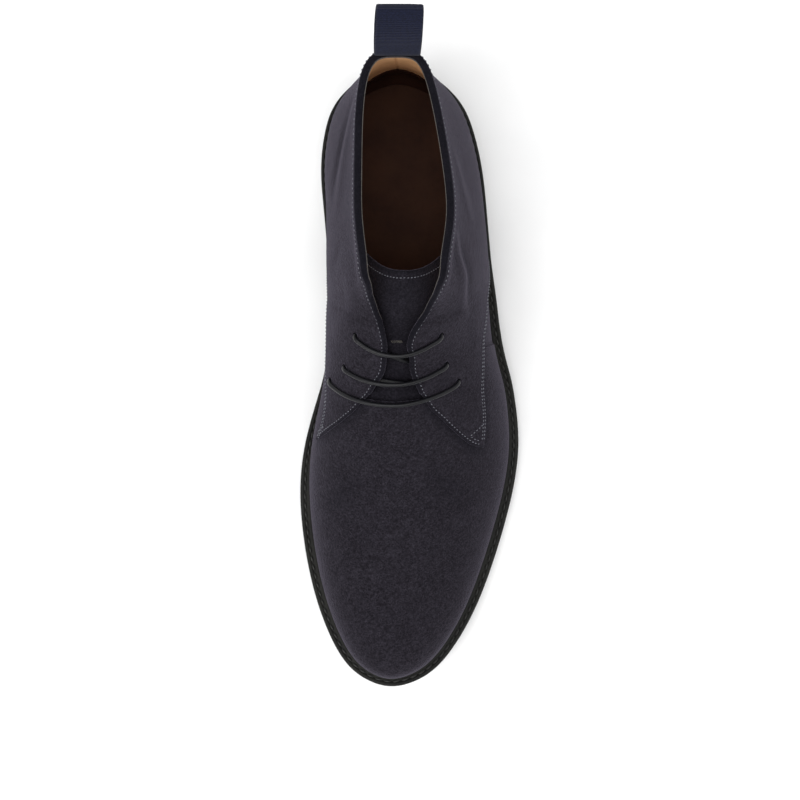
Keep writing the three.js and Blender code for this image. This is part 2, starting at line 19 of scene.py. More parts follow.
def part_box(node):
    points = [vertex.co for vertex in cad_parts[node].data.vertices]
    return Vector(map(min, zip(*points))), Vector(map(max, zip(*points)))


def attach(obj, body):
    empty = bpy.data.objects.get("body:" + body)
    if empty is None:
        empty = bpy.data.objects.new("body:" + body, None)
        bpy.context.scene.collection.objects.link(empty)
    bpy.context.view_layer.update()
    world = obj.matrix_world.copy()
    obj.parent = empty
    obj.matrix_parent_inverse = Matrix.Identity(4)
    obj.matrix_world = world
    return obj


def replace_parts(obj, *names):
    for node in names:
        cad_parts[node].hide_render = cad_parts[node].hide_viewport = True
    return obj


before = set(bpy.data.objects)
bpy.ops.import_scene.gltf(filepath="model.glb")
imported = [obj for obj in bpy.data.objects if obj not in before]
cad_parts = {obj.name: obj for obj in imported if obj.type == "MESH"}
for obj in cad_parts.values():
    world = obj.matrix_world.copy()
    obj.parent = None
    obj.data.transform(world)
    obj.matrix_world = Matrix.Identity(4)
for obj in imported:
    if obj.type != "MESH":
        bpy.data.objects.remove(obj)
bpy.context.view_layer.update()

bl_info = {
    "name": "Chukka boot",
    "version": (1, 0, 0),
    "blender": (4, 5, 0),
    "location": "3D Viewport > Sidebar > Boot",
    "description": "Builds the pieces of a suede chukka boot round its packed model",
    "category": "Add Mesh",
}

BODY = "root"
MM = 0.001

# ---- The last ----
# Columns: station, and medial and lateral half of the sole's edge; top of the rib as station,
# height, middle and half opening; height of the lower handle and its outward bulge on either side;
# sideways length of the upper handle on either side, its drop, and how much it fans out.
COLUMNS = ("station", "medial", "lateral", "top_station", "top_height", "middle", "opening",
           "lift", "bulge_medial", "bulge_lateral", "crown_medial", "crown_lateral", "drop", "fan")
RIBS = {
    "toe": (303.0, -5.0, -5.0, 279, 46.0, -5.0, 0, 20, 4.0, 4.0, 11, 11, 0, 1.0),
    "toe_round": (299.8, -17.2, 8.0, 277, 46.5, -5.0, 0, 20, 4.0, 4.0, 12, 12, 0, 1.0),
    "toe_side": (290.0, -28.9, 20.8, 270, 48.0, -5.2, 0, 20, 4.0, 4.5, 15, 15, 0, 0.9),
    "toe_back": (270.0, -39.2, 34.0, 256, 50.5, -5.4, 0, 20, 4.0, 5.0, 20, 20, 0, 0.5),
    "vamp_front": (244.0, -46.6, 44.8, 236, 55.0, -5.6, 0, 22, 4.0, 5.0, 23, 23, 0, 0.2),
    "ball": (213.0, -50.4, 53.8, 210, 62.5, -5.4, 0, 26, 4.5, 5.5, 25, 25, 0, 0),
    "vamp_back": (185.0, -48.2, 57.8, 186, 72.0, -4.6, 0, 30, 8.0, 6.5, 26, 25, 0, 0),
    "throat": (162.0, -42.0, 55.9, 166, 82.0, -3.4, 0, 36, 11.0, 8.0, 27, 22, 0, 0),
    "wing": (150.0, -38.6, 53.4, 159, 87.0, -2.8, 0, 38, 13.0, 8.0, 28, 20, 0, 0),
    "low_lace": (139.0, -36.8, 50.4, 151, 93.0, -2.2, 0, 41, 14.0, 7.5, 27, 19, 0, 0),
    "mid_lace": (126.0, -36.0, 47.9, 140, 102.5, -1.8, 0, 44, 13.5, 7.0, 25, 18, 0, 0),
    "top_lace": (112.0, -35.8, 46.0, 127, 114.0, -0.2, 0, 44, 12.0, 6.5, 22, 18, 0, 0),
    "facing": (98.0, -36.0, 43.9, 113, 123.0, 0.9, 14.0, 42, 10.0, 6.0, 12, 11, 14, 0.3),
    "facing_top": (84.0, -36.8, 42.4, 100, 126.5, 0.9, 18.4, 39, 8.0, 6.0, 7, 7, 22, 0.6),
    "ankle_front": (68.0, -38.2, 41.0, 82, 121.0, 1.1, 21.0, 34, 5.5, 5.5, 4, 4, 26, 1.0),
    "ankle": (50.0, -39.3, 38.9, 59, 116.5, 0.3, 20.6, 30, 4.5, 4.5, 3, 3, 28, 1.0),
    "ankle_back": (30.5, -37.0, 34.3, 28, 119.0, -1.9, 17.2, 24, 4.0, 4.0, 0, 0, 34, 1.0),
    "heel_side": (12.5, -27.4, 23.8, 11.5, 125.0, -2.5, 10.6, 20, 3.0, 3.0, 0, 0, 40, 1.0),
    "back": (0.0, -1.7, -1.7, 9, 126.5, -2.5, 0, 20, 3.0, 3.0, 0, 0, 40, 1.0),
}
HALF = len(RIBS) - 1
TURN = 2 * HALF
RIDGE_END = 11  # last rib whose two sides meet

# The tongue bridges the opening, so its own ribs go on closing: station and height of the ridge
TONGUE_RIDGE = {"facing": (114, 123.5), "facing_top": (102, 131.5), "ankle_front": (92, 138.0)}
TONGUE_CROWN = 20

OUTSOLE_THICKNESS = 5.0
WELT_THICKNESS = 3.0
GAP = 0.3
SEAT = OUTSOLE_THICKNESS + WELT_THICKNESS + GAP  # upper's lower edge above the underside
WALL = 2.4
HEEL_RISE = 21.0
HEEL_BREAST = 74.0
TOE_SPRING = 11.0
TOE_SPRING_POWER = 1.8
TREAD_FRONT = 223.0
TREAD_BACK = 183.0
ARCH_BACK = 78.0
TOE_END = 303.0
FORE_REACH = 5.4
HEEL_REACH = 3.4
REACH_BACK = 80.0
REACH_FRONT = 150.0
NORMAL_STEP = 1e-3
SHORTEST = 1e-3  # least chord between two knots of a curve
SPLINE_PASSES = 30


def spline_through(values):
    """Control values of the closed cubic spline that passes through the given values."""
    values = np.asarray(values, float)
    controls = values.copy()
    for _ in range(SPLINE_PASSES):
        controls += values - (np.roll(controls, 1) + 4 * controls + np.roll(controls, -1)) / 6
    return controls


def spline(controls, turn):
    """Closed cubic spline at turns."""
    n = len(controls)
    i = np.floor(turn).astype(int)
    t = turn - i
    weights = ((1 - t) ** 3, 3 * t ** 3 - 6 * t ** 2 + 4, -3 * t ** 3 + 3 * t ** 2 + 3 * t + 1, t ** 3)
    return sum(w / 6 * controls[(i + k - 1) % n] for k, w in enumerate(weights))


def smooth(t):
    """Eased step from 0 to 1."""
    t = np.clip(t, 0, 1)
    return t * t * (3 - 2 * t)


def underside(station):
    """Height of the outsole's underside: level under the ball, raised over the heel, sprung up at
    the toe."""
    spring = np.maximum(station - TREAD_FRONT, 0) / (TOE_END - TREAD_FRONT)
    rise = HEEL_RISE * smooth((TREAD_BACK - station) / (TREAD_BACK - ARCH_BACK))
    return TOE_SPRING * spring ** TOE_SPRING_POWER + rise


def reach(station):
    """How far the sole reaches out past the upper."""
    fore = smooth((station - REACH_BACK) / (REACH_FRONT - REACH_BACK))
    return HEEL_REACH + (FORE_REACH - HEEL_REACH) * fore


def rib_of(turn):
    """Rib number of a turn on either side."""
    wrapped = np.mod(turn, TURN)
    return np.minimum(wrapped, TURN - wrapped)


def unit(vectors):
    """Vectors at length 1."""
    return vectors / np.linalg.norm(vectors, axis=-1, keepdims=True)


class Last:
    """The form the boot is made on: closed splines round the boot through the table of ribs."""

    def __init__(self, rows):
        table = np.array(list(rows.values()), float)
        column = {name: table[:, i] for i, name in enumerate(COLUMNS)}
        slope = np.zeros(len(table))
        height, station = column["top_height"], column["top_station"]
        slope[1:-1] = (height[2:] - height[:-2]) / (station[2:] - station[:-2])
        slope[0] = slope[1]
        slope[RIDGE_END + 1:] = 0
        column["slope"] = slope
        self.closed_to = max(k for k in range(HALF) if column["opening"][k] == 0)

        def around(lateral, medial=None, sign=1):
            medial = lateral if medial is None else medial
            return spline_through(np.concatenate([column[lateral], sign * column[medial][-2:0:-1]]))

        plain = ("station", "top_station", "top_height", "middle", "lift", "drop", "fan", "slope")
        self.lines = {name: around(name) for name in plain}
        self.lines["edge"] = around("lateral", "medial")
        self.lines["bulge"] = around("bulge_lateral", "bulge_medial")
        self.lines["crown"] = around("crown_lateral", "crown_medial")
        self.lines["opening"] = around("opening", sign=-1)

    def line(self, name, turn):
        """One column of the table at turns."""
        return spline(self.lines[name], turn)

    def sole_edge(self, turn, inset):
        """Sole's edge moved inwards: x, station, and the outward direction in plan."""
        step = NORMAL_STEP
        dx = self.line("edge", turn + step) - self.line("edge", turn - step)
        ds = self.line("station", turn + step) - self.line("station", turn - step)
        length = np.hypot(dx, ds)
        out_x, out_s = -ds / length, dx / length
        station = self.line("station", turn)
        move = inset(station) if callable(inset) else inset
        return self.line("edge", turn) - out_x * move, station - out_s * move, out_x, out_s

    def face(self, turn, rise):
        """Points of the outer face."""
        turn, rise = np.broadcast_arrays(np.asarray(turn, float), np.asarray(rise, float))
        foot_x, foot_s, out_x, out_s = self.sole_edge(turn, reach)
        foot_z = underside(foot_s) + SEAT
        opening = np.where(rib_of(turn) <= self.closed_to, 0, self.line("opening", turn))
        top_x = self.line("middle", turn) + opening
        top_s = self.line("top_station", turn)
        top_z = self.line("top_height", turn)
        fan = self.line("fan", turn)
        length = np.hypot(out_x, out_s * fan)
        fan_x, fan_s = out_x / length, out_s * fan / length
        bulge = self.line("bulge", turn)
        crown = self.line("crown", turn)
        handle_z = top_z - self.line("drop", turn) + self.line("slope", turn) * fan_s * crown
        low_z = foot_z + self.line("lift", turn)
        points = (
            (foot_x, foot_s, foot_z),
            (foot_x + out_x * bulge, foot_s + out_s * bulge, low_z),
            (top_x + fan_x * crown, top_s + fan_s * crown, handle_z),
            (top_x, top_s, top_z),
        )
        rest = 1 - rise
        weights = (rest ** 3, 3 * rest ** 2 * rise, 3 * rest * rise ** 2, rise ** 3)
        x, s, z = (sum(w * p[axis] for w, p in zip(weights, points)) for axis in range(3))
        return np.stack([x, -s, z], axis=-1)

    def on_ridge(self, turn, rise):
        """Turns on the ridge are all taken on the lateral side, so that both sides meet there."""
        rib = rib_of(turn)
        return np.where((np.asarray(rise) >= 1) & (rib <= self.closed_to), rib, turn)

    def along(self, line):
        """Points of the outer face along a line of (turn, rise) pairs."""
        return self.face(line[:, 0], line[:, 1])

    def normal(self, turn, rise):
        """Outward normals of the outer face."""
        step = NORMAL_STEP
        inside = np.clip(rise, step, 1 - step)
        along = self.face(turn + step, inside) - self.face(turn - step, inside)
        up = self.face(turn, inside + step) - self.face(turn, inside - step)
        return unit(np.cross(along, up))

    def skin(self, turn, rise, offset=0.0):
        """Points of the outer face moved along its outward normal."""
        turn, rise = np.broadcast_arrays(np.asarray(turn, float), np.asarray(rise, float))
        turn = self.on_ridge(turn, rise)
        offset = np.asarray(offset, float)[..., None] * np.ones(turn.shape + (1,))
        return self.face(turn, rise) + offset * self.normal(turn, rise)


LAST = Last(RIBS)


def tongue_ribs():
    """The table of ribs with the opening closed by a ridge under the tongue."""
    rows = dict(RIBS)
    for name, (station, height) in TONGUE_RIDGE.items():
        row = dict(zip(COLUMNS, rows[name]))
        row.update(top_station=station, top_height=height, opening=0, drop=0, fan=0,
                   crown_medial=TONGUE_CROWN, crown_lateral=TONGUE_CROWN)
        rows[name] = tuple(row[column] for column in COLUMNS)
    return rows


TONGUE_LAST = Last(tongue_ribs())

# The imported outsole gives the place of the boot's frame in the row frame
CAD_SOLE_STEPS = 3
_outsole_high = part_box("outsole")[1]
_edge_high = spline(LAST.lines["edge"], np.arange(0, TURN, 1 / CAD_SOLE_STEPS)).max()
SHIFT = np.array([_outsole_high.x / MM - _edge_high, _outsole_high.y / MM, 0.0])


# ---- Mesh helpers ----
MERGE = 2e-6  # points closer than this are one
NEAR_TOP = 0.9999  # rises above this lie on the top line


def turn_of(side, rib):
    """Turn of a rib on the lateral side (side 1) or the medial one (side -1)."""
    return np.asarray(rib, float) if side > 0 else TURN - np.asarray(rib, float)


def grid_faces(rows, cols, wrap_rows=False, wrap_cols=False, start=0):
    """Quads of a grid of points, closed into a ring along rows or columns if wanted."""
    r = np.arange(rows if wrap_rows else rows - 1)
    c = np.arange(cols if wrap_cols else cols - 1)
    r, c = (a.ravel() for a in np.meshgrid(r, c, indexing="ij"))
    r2, c2 = (r + 1) % rows, (c + 1) % cols
    quads = np.stack([r * cols + c, r * cols + c2, r2 * cols + c2, r2 * cols + c], axis=1)
    return (quads + start).tolist()


def add_piece(name, points, faces, material, slot, tone=None, merge=True):
    """A smooth mesh object that rides on the boot. Points are in the boot's frame."""
    mesh = bpy.data.meshes.new(name)
    flat = (np.asarray(points, float).reshape(-1, 3) + SHIFT) * MM
    mesh.from_pydata(flat.tolist(), [], faces)
    if tone is not None:
        layer = mesh.attributes.new("tone", "FLOAT", "POINT")
        layer.data.foreach_set("value", np.asarray(tone, np.float32).ravel())
    work = bmesh.new()
    work.from_mesh(mesh)
    if merge:
        bmesh.ops.remove_doubles(work, verts=work.verts, dist=MERGE)
        # Where two halves of a panel meet, their edge walls lie inside the panel and go
        crowded = {edge for edge in work.edges if len(edge.link_faces) > 2}
        walls = [face for face in work.faces if len(crowded.intersection(face.edges)) > 1]
        bmesh.ops.delete(work, geom=walls, context="FACES")
    bmesh.ops.recalc_face_normals(work, faces=work.faces)
    if work.calc_volume(signed=True) < 0:
        bmesh.ops.reverse_faces(work, faces=work.faces)
    work.to_mesh(mesh)
    work.free()
    mesh.shade_smooth()
    mesh.materials.append(material)
    obj = bpy.data.objects.new(name, mesh)
    bpy.context.scene.collection.objects.link(obj)
    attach(obj, BODY)
    return obj


def shell(outer, inner, ring=False):
    """Points and faces of a closed skin round two grids with the same rows and columns."""
    rows, cols = outer.shape[:2]
    points = np.concatenate([outer, inner[::-1]])
    faces = grid_faces(2 * rows, cols, wrap_rows=True, wrap_cols=ring)
    if not ring:
        for col in (0, cols - 1):
            for row in range(rows - 1):
                a, b = row * cols + col, (row + 1) * cols + col
                back_a = (2 * rows - 1 - row) * cols + col
                faces.append([a, b, back_a - cols, back_a])
    return points, faces


def add_shell(name, last, place, offsets, material, slot, tone=None, ring=False):
    """A sheet on a last: places (turn, rise), and the offsets of its outer and its inner face."""
    points, faces = shell(*(last.skin(*place, offset) for offset in offsets), ring)
    tones = None if tone is None else np.concatenate([tone, tone[::-1]])
    return add_piece(name, points, faces, material, slot, tones)


def lines_tree(lines):
    """Search tree of the points of some lines."""
    points = np.concatenate(lines)
    tree = KDTree(len(points))
    for i, p in enumerate(points):
        tree.insert(p, i)
    tree.balance()
    return tree


def distance(points, lines):
    """Distance from each point to the nearest point of some finely stepped lines."""
    tree = lines_tree(lines)
    flat = points.reshape(-1, 3)
    return np.array([tree.find(p)[2] for p in flat]).reshape(points.shape[:-1])


def along_line(points, line):
    """Distance to a line and the share of its length at the nearest point."""
    tree = lines_tree([line])
    found = [tree.find(p) for p in points.reshape(-1, 3)]
    near = np.array([f[2] for f in found]).reshape(points.shape[:-1])
    share = np.array([f[1] for f in found]).reshape(points.shape[:-1]) / (len(line) - 1)
    return near, share


def through(knots, lengths, count):
    """Even points on a smooth curve through knots, one row each, with chord lengths between them."""
    knots = np.asarray(knots, float)
    t = np.concatenate([[0], np.cumsum(lengths)])
    slopes = np.gradient(knots, t, axis=0)
    want = np.linspace(0, t[-1], count)
    i = np.clip(np.searchsorted(t, want, side="right") - 1, 0, len(t) - 2)
    step = (t[i + 1] - t[i])[:, None]
    u = ((want - t[i]) / (t[i + 1] - t[i]))[:, None]
    h00, h10 = 2 * u ** 3 - 3 * u ** 2 + 1, u ** 3 - 2 * u ** 2 + u
    h01, h11 = -2 * u ** 3 + 3 * u ** 2, u ** 3 - u ** 2
    return h00 * knots[i] + h10 * step * slopes[i] + h01 * knots[i + 1] + h11 * step * slopes[i + 1]


def lengths_of(points):
    """Distances between neighbouring points."""
    return np.linalg.norm(np.diff(points, axis=0), axis=1)


def run_of(points):
    """Distance along a line at each of its points."""
    return np.concatenate([[0], np.cumsum(lengths_of(points))])


def sampled(values, run, want):
    """Columns of values, known at the distances of a run, at the wanted distances."""
    return np.stack([np.interp(want, run, column) for column in values.T], axis=1)


def resample(values, points, count):
    """Values at even distances along points."""
    run = run_of(points)
    return sampled(values, run, np.linspace(0, run[-1], count))


def seam(side, knots, count):
    """Even points (turn, rise) on a smooth line over the face through knots of rib and rise."""
    knots = np.asarray(knots, float)
    q = np.stack([turn_of(side, knots[:, 0]), knots[:, 1]], axis=1)
    fine = through(q, np.maximum(lengths_of(LAST.along(q)), SHORTEST), 12 * len(q))
    fine[:, 1] = np.clip(fine[:, 1], 0, 1)
    return resample(fine, LAST.along(fine), count)


LOCATE_STEP = 1e-4
LOCATE_PASSES = 30
LOCATE_MOVE = 0.4
LOCATE_RISES = (0.02, 0.999)


def locate(side, x, station, guess):
    """Rib and rise of the point of the face that lies at x and station in plan."""
    q = np.array(guess, float)
    target = np.array([x, -station])

    def plan(q):
        return LAST.face(turn_of(side, q[0]), q[1])[:2]

    step = LOCATE_STEP
    for _ in range(LOCATE_PASSES):
        slope = np.stack([(plan(q + d) - plan(q - d)) / (2 * step) for d in np.eye(2) * step], axis=1)
        q -= np.clip(np.linalg.solve(slope, plan(q) - target), -LOCATE_MOVE, LOCATE_MOVE)
        q[1] = np.clip(q[1], *LOCATE_RISES)
    return q


def inset(line, move):
    """A line (turn, rise) moved sideways over the face; positive is to the left of its run, seen
    from outside."""
    turn, rise = line.T
    step = NORMAL_STEP
    safe = np.clip(rise, step, 1 - step)
    by_turn = (LAST.face(turn + step, safe) - LAST.face(turn - step, safe)) / (2 * step)
    by_rise = (LAST.face(turn, safe + step) - LAST.face(turn, safe - step)) / (2 * step)
    normal = unit(np.cross(by_turn, by_rise))
    tangent = unit(np.gradient(LAST.along(line), axis=0))
    wanted = np.cross(normal, tangent) * np.asarray(move, float).reshape(-1, 1)
    a = (by_turn * by_turn).sum(1)
    b = (by_turn * by_rise).sum(1)
    c = (by_rise * by_rise).sum(1)
    p, q = (wanted * by_turn).sum(1), (wanted * by_rise).sum(1)
    det = a * c - b * b
    return np.stack([turn + (c * p - b * q) / det, rise + (a * q - b * p) / det], axis=1)


def rounded(near, radius):
    """Fall of a rounded edge at a distance from it."""
    share = 1 - np.clip(near / radius, 0, 1)
    return -radius * (1 - np.sqrt(np.maximum(1 - share * share, 0)))


# ---- Panels of the upper ----
QUARTER_OUT = 0.6  # quarter's outer face above the form
VAMP_OUT = -0.5
UPPER_IN = -1.35  # inner face of the suede; the lining lies inside it
LAP = 9.0  # width over which a quarter lies on the vamp
LAP_SLOPE = 3.0
LAP_EDGES = (7.4, 0.3)  # rib of the upper edge and rise of the lower one up to which a wing laps
LAP_GAP = 0.1
SUEDE_LEAST = 0.2  # least thickness of a quarter
SUEDE_EDGE = 0.75  # radius of the cut and skived edges
VAMP_EDGE = 0.6
FOOT_SHADE = 2.5  # width of the darker band along the vamp's foot
WING_SHADE = 6.0  # and of the painted shadow beside the wings' edges

# Edge of the two quarters from the throat's top down to the wings: station, medial x, lateral x
FACING_EDGE = (
    (110.5, -14.8, 15.8),
    (117.4, -13.0, 13.5),
    (124.7, -10.2, 9.3),
    (131.0, -8.1, 4.9),
    (137.0, -7.0, 2.7),
    (143.0, -7.3, 3.9),
    (149.5, -8.3, 4.4),
    (154.5, -11.6, 6.4),
    (160.2, -15.6, 9.4),
    (165.1, -20.3, 12.6),
    (170.7, -26.5, 18.2),
    (176.6, -34.3, 24.2),
)
# Rest of the edge down to the wing's tip: station and x
WING = {
    -1: ((179.4, -38.0), (181.5, -41.0)),
    1: ((180.4, 28.6), (183.5, 33.0), (185.0, 38.8)),
}
# Lower edge of a quarter from the wing's tip back and down to the sole: rib and rise
LOWER_EDGE = (
    (6.60, 0.437),
    (7.66, 0.425),
    (9.08, 0.369),
    (9.72, 0.339),
    (10.14, 0.312),
    (11.12, 0.243),
    (11.75, 0.165),
    (12.25, 0.085),
    (12.62, 0.0),
)
COLLAR_FROM = 12.6
VAMP_BACK = 9.4  # rib of the vamp's rear edge
VAMP_RIDGE_END = 7.24
# Edge of the vamp under the lace and the quarters: rib and rise
VAMP_FREE_EDGE = (
    (VAMP_RIDGE_END, 1.0),
    (7.26, 0.95),
    (7.30, 0.88),
    (7.36, 0.80),
    (7.60, 0.74),
    (8.00, 0.66),
    (8.60, 0.54),
    (VAMP_BACK, 0.42),
)
EYELETS = (
    {"medial": (10.36, 0.707), "lateral": (10.36, 0.700), "bow": 0.44},
    {"medial": (9.06, 0.643), "lateral": (9.22, 0.663), "bow": 0.46},
    {"medial": (8.18, 0.503), "lateral": (8.32, 0.597), "bow": 1.03},
)
HOLE_RADIUS = 1.5
HOLE_DEPTH = 9.0
HOLE_SIDES = 28
SIDE_NAMES = {1: "lateral", -1: "medial"}

FOLD_FADE = 0.7  # below 1, a fold keeps its height nearly to its ends
# Soft folds: side, knots of rib and rise, height of the ridge (a trough is negative), half width
FOLDS = (
    (-1, ((16.3, 0.74), (15.6, 0.62), (14.86, 0.527), (14.2, 0.44)), -0.8, 4.0),
    (-1, ((16.3, 0.84), (15.3, 0.68), (14.4, 0.58), (13.8, 0.5)), 0.6, 4.5),
    (1, ((13.8, 0.88), (12.9, 0.78), (12.1, 0.68), (11.4, 0.58), (10.7, 0.5)), 1.35, 3.4),
    (1, ((13.4, 0.76), (12.5, 0.67), (11.8, 0.59), (11.1, 0.5)), -0.6, 4.2),
    (1, ((15.4, 0.78), (14.6, 0.70), (14.1, 0.62), (13.6, 0.52)), 0.5, 5.0),
    (1, ((10.9, 0.55), (10.3, 0.49), (9.6, 0.45)), -0.35, 4.0),
    (-1, ((12.6, 0.80), (11.6, 0.68), (10.7, 0.57), (10.0, 0.48)), 0.5, 5.0),
    (-1, ((13.4, 0.66), (12.6, 0.55), (12.0, 0.45)), -0.4, 5.0),
    (1, ((5.6, 0.80), (5.2, 0.62), (5.0, 0.45)), -0.25, 6.0),
    (-1, ((5.5, 0.80), (5.1, 0.62), (4.9, 0.45)), -0.25, 6.0),
)


def folds(points):
    """Height of all the soft folds at points of the face."""
    total = np.zeros(points.shape[:-1])
    for side, knots, height, width in FOLDS:
        line = seam(side, knots, 80)
        near, share = along_line(points, LAST.along(line))
        ends = np.sin(np.pi * np.clip(share, 0, 1)) ** FOLD_FADE
        total += height * np.exp(-(near / width) ** 2) * ends
    return total


@functools.cache
def panel_lines(side):
    """Knots (rib, rise) of a quarter's upper edge, its lower edge, and its facing alone."""
    guess = (12.2, 0.97)
    front = []
    facing = [(row[0], row[1 if side < 0 else 2]) for row in FACING_EDGE]
    for station, x in (*facing, *WING[side]):
        guess = locate(side, x, station, guess)
        front.append(tuple(guess))
    tip = front.pop()
    collar = [(rib, 1.0) for rib in (COLLAR_FROM, 13.2, 14, 15, 16, 17, HALF)]
    top = [tip] + front[::-1] + collar
    low = [tip] + list(LOWER_EDGE) + [(rib, 0.0) for rib in (13.4, 14.5, 16, 17, HALF)]
    return top, low, front


def cross_rows(top, low, edge_rows, rows):
    """Shares across a panel, closer together at its two edges."""
    width = np.maximum(np.linalg.norm(LAST.along(top) - LAST.along(low), axis=1), 1e-6)
    edge_rows = np.array(edge_rows)
    inner = np.linspace(0, 1, rows)[1:-1]
    shares = []
    for w in width:
        near = np.minimum(edge_rows / w, 0.3 * edge_rows / edge_rows[-1])
        middle = near[-1] + (1 - 2 * near[-1]) * inner
        shares.append(np.concatenate([near, middle, 1 - near[::-1]]))
    return np.array(shares).T


EDGE_ROWS = (0.0, 0.06, 0.2, 0.42, 0.75, 1.3)
QUARTER_COLUMNS = 250
QUARTER_ROWS = 62
COLLAR_BAND = 1.8  # width of the painted shade band along the collar, under the binding's edge
FACING_BAND = 1.4
COLLAR_BAND_FROM = 11.6  # rib where it takes over from the facing's band
BAND_SOFT = 0.4  # softness of the bands' edge
FOLD_TONE = 0.5  # share of a fold's height laid on as painted highlight on its ridge and painted shade in its trough; tones run from -1, dark, to 1, pale
# depth of the painted shade band along the upper edge
BAND_TONE = 0.35
EDGE_TONE = 0.25
EDGE_SHADE = 1.2  # width of the darker line along a cut edge
COLLAR_BEAD = (0.75, 3.4, 3.2)  # height of the soft roll under the collar, its middle and half width
BEAD_RIBS = (11.2, 1.6)  # rib where the roll starts, and ribs over which it rises
QUARTER_SINK = (0.3, 8, 5)  # how far the face sinks towards the heel, from which rib, over how many
FINE = 1200  # points of a long edge that distances are taken from
BACK_POINTS = 300  # and of a short one


def quarter_height(turn, points, top_near):
    """Offset of a quarter's outer face, away from its rounded edges."""
    rib = rib_of(turn)
    high, middle, width = COLLAR_BEAD
    start, span = BEAD_RIBS
    bead = high * np.exp(-((top_near - middle) / width) ** 2) * smooth((rib - start) / span)
    sink, start, span = QUARTER_SINK
    return QUARTER_OUT - sink * smooth((rib - start) / span) + folds(points) + bead


def quarter(side, material):
    """Side panel with its wing, from the facing round to the back seam."""
    top_knots, low_knots, _ = panel_lines(side)
    top = seam(side, top_knots, QUARTER_COLUMNS)
    low = seam(side, low_knots, QUARTER_COLUMNS)
    shares = cross_rows(top, low, EDGE_ROWS, QUARTER_ROWS)
    turn = low[None, :, 0] + (top[:, 0] - low[:, 0])[None] * shares
    rise = np.clip(low[None, :, 1] + (top[:, 1] - low[:, 1])[None] * shares, 0, 1)
    base = LAST.face(turn, rise)
    fine_top = seam(side, top_knots, FINE)
    fine_low = seam(side, low_knots, FINE)
    back = np.stack([np.full(BACK_POINTS, turn_of(side, HALF)), np.linspace(0, 1, BACK_POINTS)], axis=1)
    edges = [LAST.along(line) for line in (fine_top, fine_low, back)]
    near = distance(base, edges)
    top_near = distance(base, edges[:1])
    lapping = rib_of(fine_top[:, 0]) < LAP_EDGES[0], fine_low[:, 1] > LAP_EDGES[1]
    over_vamp = distance(base, [edges[0][lapping[0]], edges[1][lapping[1]]])
    height = folds(base)
    outer = quarter_height(turn, base, top_near) + rounded(near, SUEDE_EDGE)
    lap = smooth((over_vamp - LAP) / LAP_SLOPE)
    inner = (VAMP_OUT + LAP_GAP) * (1 - lap) + UPPER_IN * lap
    inner = np.minimum(inner + np.minimum(height, 0), outer - SUEDE_LEAST)
    band = np.where(rib_of(turn) > COLLAR_BAND_FROM, COLLAR_BAND, FACING_BAND)
    # Painted highlight on the folds' ridges and painted shade in their troughs
    tone = np.clip(height * FOLD_TONE, -1, 1)
    # Painted shade in a band under the binding's edge, along the collar and the facings
    tone -= BAND_TONE * smooth((band + BAND_SOFT - top_near) / (2 * BAND_SOFT))
    tone -= EDGE_TONE * smooth((EDGE_SHADE - near) / 0.8)
    name = f"quarter_{SIDE_NAMES[side]}"
    return add_shell(name, LAST, (turn, rise), (outer, inner), material, "suede", tone)


def punch(obj, side):
    """Cuts the lace holes."""
    key = SIDE_NAMES[side]
    work = bmesh.new()
    for pair in EYELETS:
        rib, rise = pair[key]
        turn = turn_of(side, rib)
        middle = LAST.face(turn, rise)
        axis = Vector(LAST.normal(turn, rise))
        made = bmesh.ops.create_cone(work, cap_ends=True, segments=HOLE_SIDES, depth=HOLE_DEPTH * MM,
                                     radius1=HOLE_RADIUS * MM, radius2=HOLE_RADIUS * MM)
        turned = axis.to_track_quat("Z", "Y").to_matrix()
        bmesh.ops.rotate(work, verts=made["verts"], matrix=turned)
        bmesh.ops.translate(work, verts=made["verts"], vec=Vector((middle + SHIFT) * MM))
    cutter_mesh = bpy.data.meshes.new("cutter")
    work.to_mesh(cutter_mesh)
    work.free()
    cutter = bpy.data.objects.new("cutter", cutter_mesh)
    bpy.context.scene.collection.objects.link(cutter)
    cut = obj.modifiers.new("holes", "BOOLEAN")
    cut.operation = "DIFFERENCE"
    cut.solver = "EXACT"
    cut.object = cutter
    settled = bpy.data.meshes.new_from_object(obj.evaluated_get(bpy.context.evaluated_depsgraph_get()))
    obj.modifiers.clear()
    obj.data = settled
    bpy.data.objects.remove(cutter)
    bpy.data.meshes.remove(cutter_mesh)


